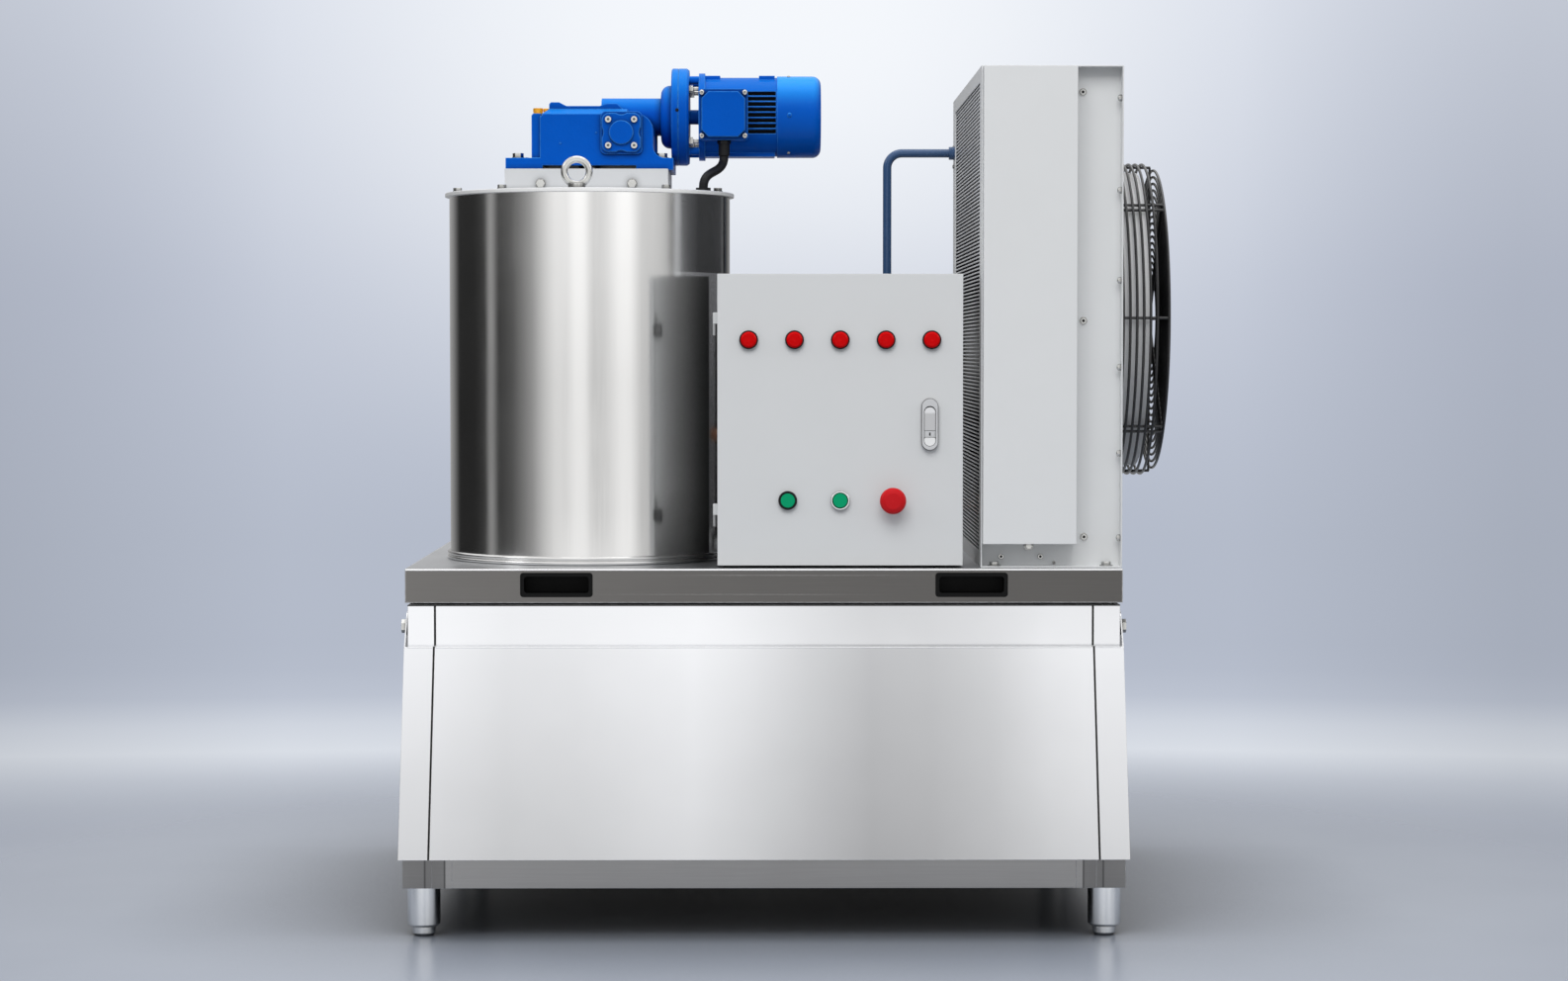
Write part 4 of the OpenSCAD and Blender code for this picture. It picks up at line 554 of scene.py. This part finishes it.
# %% Greys and blacks
POWDER = {"skin": 0.00002, "grain": 1400.0, "edge": 0.0014}
SMOOTH = {"skin": 0.00001, "grain": 1400.0, "edge": 0.0010, "coat": 0.2}
CABINET = (0.725, 0.735, 0.735)
cabinet_grey = paint("cabinet_grey", CABINET, 0.42, edge_gain=1.12, mottle=0.2, **POWDER)
box_grey = paint("box_grey", CABINET, 0.42, edge_gain=1.12, mottle=0.2, **POWDER)
hinge_grey = paint("hinge_grey", CABINET, 0.42, mottle=0.2, **POWDER)
casing_grey = paint("casing_grey", (0.79, 0.80, 0.80), 0.40, edge_gain=1.12, mottle=0.2, **POWDER)
pedestal_grey = paint("pedestal_grey", (0.64, 0.65, 0.66), 0.38, edge_gain=1.1, **POWDER)
latch_grey = paint("latch_grey", (0.63, 0.635, 0.64), 0.30, edge_gain=1.35, mottle=0.2, **SMOOTH)
lever_grey = paint("lever_grey", (0.86, 0.86, 0.86), 0.30, edge_gain=1.1, mottle=0.2, **SMOOTH)
ring_white = paint("ring_white", (0.78, 0.78, 0.78), 0.40)
wire_black = paint("wire_black", (0.012, 0.012, 0.013), 0.30, edge=0.0006, coat=0.3, edge_gain=1.5)
machine_black = paint("machine_black", (0.016, 0.016, 0.017), 0.40, 0.00008, 500.0, 0.002, edge_gain=1.8)
pipe_lacquer = paint("pipe_lacquer", (0.028, 0.076, 0.18), 0.26, 0.00002, coat=0.15)
fin_metal = paint("fin_metal", (0.78, 0.79, 0.81), 0.35, 0.00001, 900.0, 0.0004, mottle=0.2)
print("greys and blacks ready, last:", fin_metal.name)

# %% [markdown]
# ## Plastics, rubber and foam
# The lamps and buttons are moulded gloss plastic. The lenses let light in a little way; they get a clear coat
# instead of real glass, which would show the dark inside of the lamp. Handles, seals and conduit are dull black
# with a fine moulded grain.

# %% Plastics
def plastic(name, colour, rough, grain=1200.0, skin=0.00003, coat=0.0, glow=0.0, shine=0.5):
    material = paint(name, colour, rough, skin, grain, 0.0012, coat, 1.3)
    shader = material.node_tree.nodes["Principled BSDF"]
    shader.inputs["Subsurface Weight"].default_value = glow
    shader.inputs["Specular IOR Level"].default_value = shine
    shader.inputs["Subsurface Radius"].default_value = (0.004, 0.002, 0.002)
    return material


lamp_red = plastic("lamp_red", (0.58, 0.001, 0.002), 0.30, skin=0.00001, coat=0.05, shine=0.06)
stop_red = plastic("stop_red", (0.54, 0.010, 0.014), 0.34, skin=0.00001, coat=0.05, shine=0.10)
button_green = plastic("button_green", (0.001, 0.33, 0.14), 0.30, skin=0.00001, coat=0.05, shine=0.08)
breather_orange = plastic("breather_orange", (0.80, 0.36, 0.012), 0.35, coat=0.2)
latch_white = plastic("latch_white", (0.84, 0.84, 0.83), 0.25, coat=0.3)
black_plastic = plastic("black_plastic", (0.008, 0.008, 0.009), 0.42, 700.0, 0.00006, shine=0.22)
handle_black = plastic("handle_black", (0.005, 0.005, 0.005), 0.50, 700.0, 0.00006, shine=0.12)
seal_rubber = plastic("seal_rubber", (0.012, 0.012, 0.012), 0.70, 500.0, 0.0001)
tub_plastic = plastic("tub_plastic", (0.80, 0.81, 0.82), 0.45, 300.0, 0.0001)
tank_plastic = plastic("tank_plastic", (0.72, 0.75, 0.78), 0.40, 300.0, 0.0001, glow=0.2)
foam_yellow = plastic("foam_yellow", (0.80, 0.70, 0.45), 0.85, 220.0, 0.0008)
print("plastics ready, last:", foam_yellow.name)

# %% [markdown]
# ## Tones that change over a surface
# A wide sheet is never one even grey: it is a little bowed, so it gathers light in some places and loses it in
# others, and it fades towards the floor; here that light and shade is painted into the colour. A coil of thin
# fins is striped, bright along the fin edges and black between them, and so are the slots of the motor; the black
# is painted shade. All of these are one tool: a tone that multiplies the finish and changes along one of the
# measures, in metres.

# %% Tones
def base_of(material):
    """The tree of a finish, the colour input of its shader, and what feeds that input so far."""
    tree = material.node_tree
    socket = tree.nodes["Principled BSDF"].inputs["Base Color"]
    return tree, socket, socket.links[0].from_socket


def toned(material, measure, stops):
    """Multiply a finish by tones given as (distance, tone) pairs."""
    tree, socket, colour = base_of(material)
    near, far = stops[0][0], stops[-1][0]
    share = eased(tree, placed(tree, measures)[measure], near, far, way="LINEAR")
    tones = ramp(tree, share, [((at - near) / (far - near), grey(tone)) for at, tone in stops])
    tree.links.new(blended(tree, 1.0, colour, tones, "MULTIPLY"), socket)


print("tones ready")

# %% Sheet tones
# Painted reflection: the hood is painted lighter and darker across its width, as a bowed sheet would mirror the
# room
SHEET_GLOW = [
    (-0.56, 0.98), (-0.50, 0.96), (-0.40, 0.87), (-0.29, 0.89), (-0.11, 1.0), (-0.02, 0.88), (0.07, 0.73),
    (0.165, 0.60), (0.257, 0.62), (0.35, 0.73), (0.44, 0.90), (0.50, 0.97), (0.56, 0.98),
]
# The upright band gets the same painted reflection, only weaker
BAND_GLOW = [(at, 0.42 + 0.58 * tone) for at, tone in SHEET_GLOW]
toned(hood_steel, "Across", SHEET_GLOW)
# Painted shade: the hood darkens towards the floor
toned(hood_steel, "Upward", [(0.10, 0.74), (0.45, 1.0)])
# Painted shade: the drum darkens towards its foot
toned(drum_steel, "Upward", [(0.57, 0.84), (0.65, 0.80), (0.85, 0.82), (1.05, 0.95), (1.15, 1.0)])
# Painted reflection: the drum is painted dark on its right, above the control box
toned(drum_steel, "Across High", [(-0.145, 1.0), (-0.122, 0.50), (-0.105, 0.27), (-0.055, 0.27), (-0.040, 0.70),
                                  (-0.025, 1.0)])
toned(band_steel, "Across", BAND_GLOW)
# Painted reflection: the tray is painted lighter at its left end and darker towards its right
toned(tray_steel, "Across", [(-0.56, 1.30), (0.0, 1.02), (0.56, 0.88)])
# The rail's ends are separate blocks, with a dark joint line where each is welded on
toned(frame_steel, "Outward", [(0.0, 1.0), (0.4885, 1.04), (0.4895, 0.25), (0.4905, 0.25), (0.4915, 0.66),
                               (0.5195, 0.62), (0.5203, 0.25), (0.5213, 0.25), (0.5221, 0.66), (0.56, 0.72)])
print("toned:", hood_steel.name, drum_steel.name, band_steel.name, tray_steel.name, frame_steel.name)

# %% Deep gaps
GAP_TONE = 0.006
# Painted shade: the coil is black between its fin edges, and the motor black in its slots
toned(fin_metal, "Across", [(0.3422, 1.0), (0.3471, GAP_TONE)])
toned(motor_blue, "From Motor", [(0.040, 1.0), (0.046, GAP_TONE), (0.0610, GAP_TONE), (0.0648, 1.0)])
# Painted highlight: the lever is paler at its top end
toned(lever_grey, "Upward", [(0.801, 0.70), (0.804, 1.0)])
# The contactors stand off their plate and are dark, while plate and rails stay zinc
rack_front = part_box("mounting_plate")[0][1]
toned(rack_zinc, "Backward", [(rack_front + 0.0630, 0.10), (rack_front + 0.0640, 1.0)])
print("deep gaps:", fin_metal.name, motor_blue.name, lever_grey.name, rack_zinc.name)

# %% [markdown]
# ## Closed corners
# Where a hinge, a latch or a pipe stands close to its neighbour, hardly any light gets in between. The group
# for closed corners finds such places, and the finish goes nearly black there. The reach is how far away a
# neighbour still counts, and the power how quickly the dark sets in.

# %% Closed corners
SHUT_DARK = (0.004, 0.004, 0.005, 1)


def shut_in(material, reach, power):
    """Darken a finish where something stands close in front of it."""
    tree, socket, colour = base_of(material)
    open_share = placed(tree, closed_corners, Reach=reach, Power=power)["Open"]
    tree.links.new(blended(tree, open_share, SHUT_DARK, colour), socket)


CORNERS = [
    (box_grey, 0.12, 1.6), (copper_tube, 0.10, 1.5), (hinge_grey, 0.25, 2.4), (latch_grey, 0.006, 3.2),
    (lever_grey, 0.003, 2.0), (zinc_plate, 0.008, 1.5), (cast_blue, 0.012, 1.2), (pedestal_grey, 0.012, 1.0),
]
for material, reach, power in CORNERS:
    shut_in(material, reach, power)
print("closed corners on", len(CORNERS), "finishes")

# %% [markdown]
# ## Level faces, bright folds and polished legs
# The tops of the tray and the lid lie open to the ceiling, so they are painted paler, as painted light, while
# their sides are not. Every fold in the sheet gets a painted highlight, a thin bright line, and the edges of the
# blue castings a pale blue one. The leg tubes are polished, unlike the rails above them.

# %% Level faces and bright folds
FOLD_WHITE, EDGE_BLUE = (1.0, 1.0, 1.0), (0.09, 0.40, 0.92)


def topped(material, colour):
    """Give the level faces of a finish a paler colour of their own: painted light from above."""
    tree, socket, sides = base_of(material)
    tree.links.new(blended(tree, placed(tree, level_faces)["Level"], sides, (*colour, 1)), socket)


def edge_lit(material, radius, gain, colour):
    """Draw a painted highlight, a bright line, along every fold and rim."""
    tree, socket, body = base_of(material)
    rim = maths(tree, "MULTIPLY", placed(tree, soft_edges, Radius=radius)["Edge"], gain)
    rim = add(tree, "Clamp", {0: rim}).outputs[0]
    tree.links.new(blended(tree, rim, body, (*colour, 1)), socket)


topped(tray_steel, (0.60, 0.61, 0.63))
topped(lid_steel, (0.60, 0.61, 0.62))
FOLDS = [
    (hood_steel, 0.002, 1.6), (band_steel, 0.0015, 1.6), (tray_steel, 0.0026, 1.9),
    (frame_steel, 0.0016, 0.9), (lid_steel, 0.003, 1.5),
]
for material, radius, gain in FOLDS:
    edge_lit(material, radius, gain, FOLD_WHITE)
for material in (cast_blue, motor_blue, sheet_blue):
    edge_lit(material, 0.0024, 1.2, EDGE_BLUE)
print("bright folds on", len(FOLDS), "steels and the blues")

# %% Polished legs
RAIL_FOOT = 0.0758
LEG_ROUGH = 0.16


def polished_legs(material):
    tree, socket, rail_colour = base_of(material)
    rough = tree.nodes["Principled BSDF"].inputs["Roughness"]
    rail_rough = rough.links[0].from_socket
    below = maths(tree, "LESS_THAN", placed(tree, measures)["Upward"], RAIL_FOOT)
    tree.links.new(blended(tree, below, rail_colour, (*POLISHED, 1)), socket)
    tree.links.new(add(tree, "Mix", {0: below, 2: rail_rough, 3: LEG_ROUGH}).outputs[0], rough)


polished_legs(frame_steel)
print("legs polished below", RAIL_FOOT, "m")

# %% [markdown]
# ## Dressing the solids
# Every solid now gets its finish by name.

# %% Dress the solids
FINISH_OF = {
    "hood_panel": hood_steel, "hood_cheeks": hood_steel, "hood_inner_panel": liner_steel, "bin_shell": band_steel,
    "deck": tray_steel, "base_frame": frame_steel, "feet": foot_steel,
    "drum_jacket": drum_steel, "drum_base_ring": drum_steel, "drum_lid": lid_steel,
    "bin_tub": tub_plastic, "deck_seal": seal_rubber, "hood_seal": seal_rubber,
    "pivot_bolts": zinc_plate, "eye_bolts": zinc_plate, "hex_bolts": zinc_plate, "mounting_plate": rack_zinc,
    "recessed_handles": handle_black, "conduit": black_plastic, "conduit_glands": black_plastic,
    "pilot_bezels": black_plastic, "drum_insulation": foam_yellow,
    "freezing_wall": turned_steel, "bearing_spider": turned_steel, "spindle": turned_steel,
    "cross_shaft": turned_steel, "motor_rotor": turned_steel,
    "ice_scraper": scraper_steel, "water_spreader": scraper_steel, "worm_wheel": wheel_bronze,
    "gearbox_pedestal": pedestal_grey, "condenser_casing": casing_grey, "condenser_cover": casing_grey,
    "control_box": box_grey, "control_door": cabinet_grey, "door_hinges": hinge_grey,
    "gear_housing": cast_blue, "bearing_cover": cast_blue, "motor_adapter": cast_blue, "motor_frame": motor_blue,
    "terminal_box": cast_blue, "fan_cowl": sheet_blue, "breather_plug": breather_orange,
    "condenser_coil": fin_metal, "fan_ring": ring_white, "fan_guard": wire_black,
    "fan_motor": machine_black, "fan_blades": machine_black, "compressor": machine_black,
    "liquid_receiver": machine_black, "hot_gas_pipe": pipe_lacquer, "pipework": copper_tube,
    "water_tank": tank_plastic, "lamp_lenses": lamp_red, "start_button": button_green,
    "reset_button": button_green, "stop_button": stop_red,
    "latch_body": latch_grey, "latch_lever": lever_grey, "latch_button": latch_white,
}
for name, material in FINISH_OF.items():
    slots = nodes[name].data.materials
    slots.clear()
    slots.append(material)
print("dressed", len(FINISH_OF), "of", len(nodes), "solids")

# %% [markdown]
# ## Tools for small fittings
# The solids carry everything that moves or bears load. What is still missing is the small hardware that tells
# the eye how big the machine is: screws, rings and rubber lips. Each is turned or boxed from a few numbers in
# millimetres, measured as on a drawing: across from the middle of the tray, back from its front edge, and up
# from the floor.

# %% Fitting tools
DRAWING_ORIGIN = Vector((TRAY_MIDDLE, TRAY_LOW.y, 0.0))
FRONT, LEFT, UP = Vector((0, -1, 0)), Vector((-1, 0, 0)), Vector((0, 0, 1))
SIDES = 24
CREASE = math.radians(32)


def spot(x, y, z):
    return DRAWING_ORIGIN + Vector((x, y, z)) / 1000


def turned_rings(form, profile, at, axis, sides):
    """A ring of points round an axis for each (radius, height) pair."""
    turned = axis.to_track_quat("Z", "Y").to_matrix()
    angles = [2 * math.pi * i / sides for i in range(sides)]
    return [[form.verts.new(at + turned @ Vector((r * math.cos(a), r * math.sin(a), h)) / 1000) for a in angles]
            for r, h in profile]


def joined(form, low, high):
    """The faces between two rings."""
    return [form.faces.new((low[i - 1], low[i], high[i], high[i - 1])) for i in range(len(low))]


def lathe(form, profile, at, axis, sides=SIDES):
    """Turn a profile and close both ends; gives the faces from foot to tip."""
    rings = turned_rings(form, profile, at, axis, sides)
    faces = [form.faces.new(reversed(rings[0]))]
    for low, high in zip(rings, rings[1:]):
        faces += joined(form, low, high)
    return faces + [form.faces.new(rings[-1])]


def block(form, x0, x1, y0, y1, z0, z1):
    """A box between drawing measures."""
    low, high = spot(x0, y0, z0), spot(x1, y1, z1)
    made = bmesh.ops.create_cube(form, size=1.0)["verts"]
    for vert in made:
        vert.co = Vector((low[i] if vert.co[i] < 0 else high[i] for i in range(3)))


def piece(name, form, materials, body):
    mesh = bpy.data.meshes.new(name)
    bmesh.ops.recalc_face_normals(form, faces=form.faces)
    form.to_mesh(mesh)
    form.free()
    for material in materials:
        mesh.materials.append(material)
    mesh.polygons.foreach_set("use_smooth", [True] * len(mesh.polygons))
    mesh.set_sharp_from_angle(angle=CREASE)
    made = bpy.data.objects.new(name, mesh)
    scene.collection.objects.link(made)
    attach(made, body)
    return made


print("drawing origin at", [round(v, 4) for v in DRAWING_ORIGIN])

# %% [markdown]
# ## Shadow gaps and rubber lips
# The columns of the hood stand a few millimetres off its centre panel, and the same joint runs on up the band
# of the bin. Black rubber strips lie in these joints, and a black lip under the tray, as painted shade: they
# darken the gaps as shadow would. They are thin, yet they draw the main lines of the front.

# %% Shade strips
GAP_IN, GAP_OUT = 512.2, 514.8
STRIP_FRONT, STRIP_BACK = 16.0, 9.0
KINK_Z, HOOD_FOOT_Z, SLOPE = 440.0, 122.0, 105.0 / 320.0
BAND_TOP, BIN_HALF = 504.0, 556.0


def hood_shade_strips():
    """A black strip in each joint of the hood, lying 3 mm behind its face, as painted shade."""
    form = bmesh.new()
    for side in (-1, 1):
        corners = []
        for z in (HOOD_FOOT_Z, KINK_Z):
            foot = -SLOPE * (KINK_Z - z)
            for ahead in (STRIP_BACK, STRIP_FRONT):
                corners += [form.verts.new(spot(side * x, foot - ahead, z)) for x in (GAP_IN, GAP_OUT)]
        a, b, c, d, e, f, g, h = corners
        for face in ((a, b, d, c), (e, f, h, g), (a, b, f, e), (c, d, h, g), (a, c, g, e), (b, d, h, f)):
            form.faces.new(face)
    return piece("hood_shade_strips", form, [seal_rubber], "hood")


def bin_shade_strips():
    """Black strips in the two joints of the band, and the lip under the tray, as painted shade."""
    form = bmesh.new()
    for side in (-1, 1):
        block(form, side * GAP_IN, side * GAP_OUT, 0.35, 1.15, KINK_Z + 0.5, BAND_TOP)
    block(form, -BIN_HALF, BIN_HALF, -1.2, 0.0, BAND_TOP - 2.0, BAND_TOP)
    return piece("bin_shade_strips", form, [seal_rubber], "machine")


shade_strips = [hood_shade_strips(), bin_shade_strips()]
print("gaskets:", [g.name for g in shade_strips])

# %% [markdown]
# ## Bright hems
# The front edge of the tray and the top edge of the hood are folded over. A strip of bright steel along each fold
# is a painted highlight: from the front it shows as a white line as thin as the sheet is doubled.

# %% Hems
TRAY_HALF = 559.6
TRAY_HEM_Z = (557.4, 560.15)
HOOD_FACE_AT_KINK = 18.95
HOOD_STRIPS = [(-555.0, -515.5), (-511.5, 511.5), (515.5, 555.0)]


def tray_hem():
    form = bmesh.new()
    block(form, -TRAY_HALF, TRAY_HALF, -0.6, 1.5, *TRAY_HEM_Z)
    return piece("tray_hem", form, [hem_steel], "machine")


def hood_hem():
    form = bmesh.new()
    for x0, x1 in HOOD_STRIPS:
        block(form, x0, x1, -HOOD_FACE_AT_KINK - 1.1, -HOOD_FACE_AT_KINK + 0.5, KINK_Z - 1.7, KINK_Z - 0.1)
    return piece("hood_hem", form, [hem_steel], "hood")


print("hems:", tray_hem().name, hood_hem().name)

# %% [markdown]
# ## Screws
# Cap screws share one outline: a short barrel, a rounded rim and a socket that is black inside, as painted
# shade, so that it reads as a hole from any distance. A zinc washer lies under those that clamp thin sheet.

# %% Screw heads
# The socket is the last ring of faces and the closing one
SOCKET_FACES = SIDES + 1
THIN_WASHER, WASHER = 1.1, 1.6


def cap_screw(form, at, facing, radius, height, washer=0.0):
    if washer:
        lathe(form, [(washer, 0.0), (washer, 0.8), (washer - 0.4, THIN_WASHER)], at, facing)
        at = at + facing * THIN_WASHER / 1000
    outline = [(radius, 0.0), (radius, height * 0.6), (radius * 0.78, height), (radius * 0.5, height),
               (radius * 0.45, height * 0.35)]
    # Painted shade: the socket faces take the black second slot
    for face in lathe(form, outline, at, facing)[-SOCKET_FACES:]:
        face.material_index = 1


def hex_head(form, at, facing, size, washer=0.0):
    if washer:
        lathe(form, [(washer, 0.0), (washer, 1.2), (washer - 0.5, WASHER)], at, facing)
        at = at + facing * WASHER / 1000
    lathe(form, [(size, 0.0), (size, size * 0.6), (size * 0.82, size * 0.75)], at, facing, sides=6)


print("screw heads ready")

# %% Condenser screws
END_PLATE_Y, EDGE_Y = 55.0, 42.0
STRIP_SCREWS = [(500.0, 1305.0), (502.0, 947.0), (504.0, 607.0)]
EDGE_X, EDGE_SCREW_HEIGHTS = 560.0, [1295.0, 1151.0, 1010.0, 874.0, 739.0, 606.0]
LOW_SCREWS = [(373.5, 576.0, 4.4), (435.5, 576.0, 4.4), (457.0, 566.5, 2.6)]
POST_X, POST_SCREWS = 340.0, [(780.0, 1262.0), (780.0, 1228.0)]
FOOT_BOLTS_X, FOOT_Z = (362.0, 538.0), 562.0
PLATE_BOLT = (417.0, END_PLATE_Y, 593.0)


def condenser_screws():
    form = bmesh.new()
    for x, z in STRIP_SCREWS:
        cap_screw(form, spot(x, END_PLATE_Y, z), FRONT, 4.6, 3.4, washer=6.4)
    for z in EDGE_SCREW_HEIGHTS:
        cap_screw(form, spot(EDGE_X, EDGE_Y, z), LEFT, 5.4, 6.0)
    for x, z, radius in LOW_SCREWS:
        cap_screw(form, spot(x, END_PLATE_Y, z), FRONT, radius, 3.0)
    for y, z in POST_SCREWS:
        cap_screw(form, spot(POST_X, y, z), LEFT, 4.0, 3.0)
    for x in FOOT_BOLTS_X:
        hex_head(form, spot(x, EDGE_Y, FOOT_Z), UP, 7.5, washer=10.5)
    hex_head(form, spot(*PLATE_BOLT), FRONT, 6.0, washer=7.5)
    return piece("condenser_screws", form, [zinc_plate, black_plastic], "machine")


print("screws:", condenser_screws().name)

# %% [markdown]
# ## Fittings of the gear motor and the control door
# The lid of the terminal box is held by four screws on short posts. The cowl has small screws round its rim
# and a pressed dimple. A smaller cap stands beside the breather plug. On the door, only the reset button wears
# a bright ring; the start button has a plain black collar.

# %% Motor fittings
BOX_CENTRE = (-66.0, 1284.5)
BOX_SCREW_OUT = 35.0
BOX_RIM_Y = 259.8
MOTOR_AXIS_Y, MOTOR_AXIS_Z = 359.8, 1286.5
COWL_R, COWL_SINK, COWL_SCREW_X = 67.2, 0.2, 41.0
COWL_SCREW_TURNS = (14.0, 153.0, 207.0, 346.0)
DIMPLE_TURN, DIMPLE_X = 91.0, 42.0
PIPS = [(-272.0, 237.8, 1253.0), (-330.0, 237.8, 1236.0)]
DRAIN_PLUG = (-142.0, 280.1, 1293.0)
CAP_ASIDE, CAP_SUNK = 0.0131, 0.004


def terminal_screws():
    form = bmesh.new()
    for side in (-1, 1):
        for end in (-1, 1):
            at = spot(BOX_CENTRE[0] + side * BOX_SCREW_OUT, BOX_RIM_Y, BOX_CENTRE[1] + end * BOX_SCREW_OUT)
            lathe(form, [(2.6, 0.0), (2.6, 6.0), (2.4, 6.2)], at, FRONT)
            cap_screw(form, at + FRONT * 0.005, FRONT, 4.2, 2.6)
    return piece("terminal_screws", form, [zinc_plate, black_plastic], "machine")


def cowl_point(turn, x):
    """A place on the cowl and its outward direction, for a turn from straight up towards the front."""
    out = Vector((0.0, -math.sin(math.radians(turn)), math.cos(math.radians(turn))))
    return spot(x, MOTOR_AXIS_Y, MOTOR_AXIS_Z) + out * (COWL_R - COWL_SINK) / 1000, out


def cowl_screws():
    form = bmesh.new()
    for turn in COWL_SCREW_TURNS:
        at, out = cowl_point(turn, COWL_SCREW_X)
        cap_screw(form, at, out, 2.6, 1.8)
    return piece("cowl_screws", form, [zinc_plate, black_plastic], "machine")


def cast_pips():
    """Cast pips and a pressed dimple in the same blue, and the drain plug of the flange."""
    form = bmesh.new()
    at, out = cowl_point(DIMPLE_TURN, DIMPLE_X)
    lathe(form, [(4.4, 0.0), (3.9, 0.5), (2.4, 0.9), (0.6, 1.0)], at, out)
    for place in PIPS:
        lathe(form, [(1.8, -0.2), (1.5, 0.5), (0.5, 0.8)], spot(*place), FRONT)
    for face in lathe(form, [(2.8, -0.3), (2.6, 0.8), (1.0, 1.0)], spot(*DRAIN_PLUG), FRONT):
        face.material_index = 1
    return piece("cast_pips", form, [cast_blue, black_plastic], "machine")


def second_cap():
    """The smaller cap beside the breather plug, set into the same roof."""
    form = bmesh.new()
    low, high = (Vector(corner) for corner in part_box("breather_plug"))
    foot = Vector(((low.x + high.x) / 2 + CAP_ASIDE, (low.y + high.y) / 2, low.z - CAP_SUNK))
    tall = (high.z - foot.z) * 1000
    lathe(form, [(4.4, 0.0), (4.4, tall - 5.0), (4.8, tall - 5.0), (4.8, tall - 1.2), (4.2, tall - 0.4)], foot, UP)
    return piece("second_cap", form, [breather_orange], "machine")


print("second cap:", second_cap().name)
print("motor fittings:", terminal_screws().name, cowl_screws().name, cast_pips().name)

# %% Door fittings
RESET_AT = (119.0, 14.0, 666.0)
RING_OUTER, RING_INNER, RING_SIDES = 14.6, 12.2, 48


def reset_ring():
    form = bmesh.new()
    profile = [(RING_INNER, 0.0), (RING_OUTER, 0.0), (RING_OUTER, 0.7), (RING_OUTER - 0.5, 1.1),
               (RING_INNER + 0.5, 1.1), (RING_INNER, 0.7)]
    rings = turned_rings(form, profile, spot(*RESET_AT), FRONT, RING_SIDES)
    for low, high in zip(rings, rings[1:] + rings[:1]):
        joined(form, low, high)
    return piece("reset_ring", form, [chrome_satin], "door")


print("door fittings:", reset_ring().name)
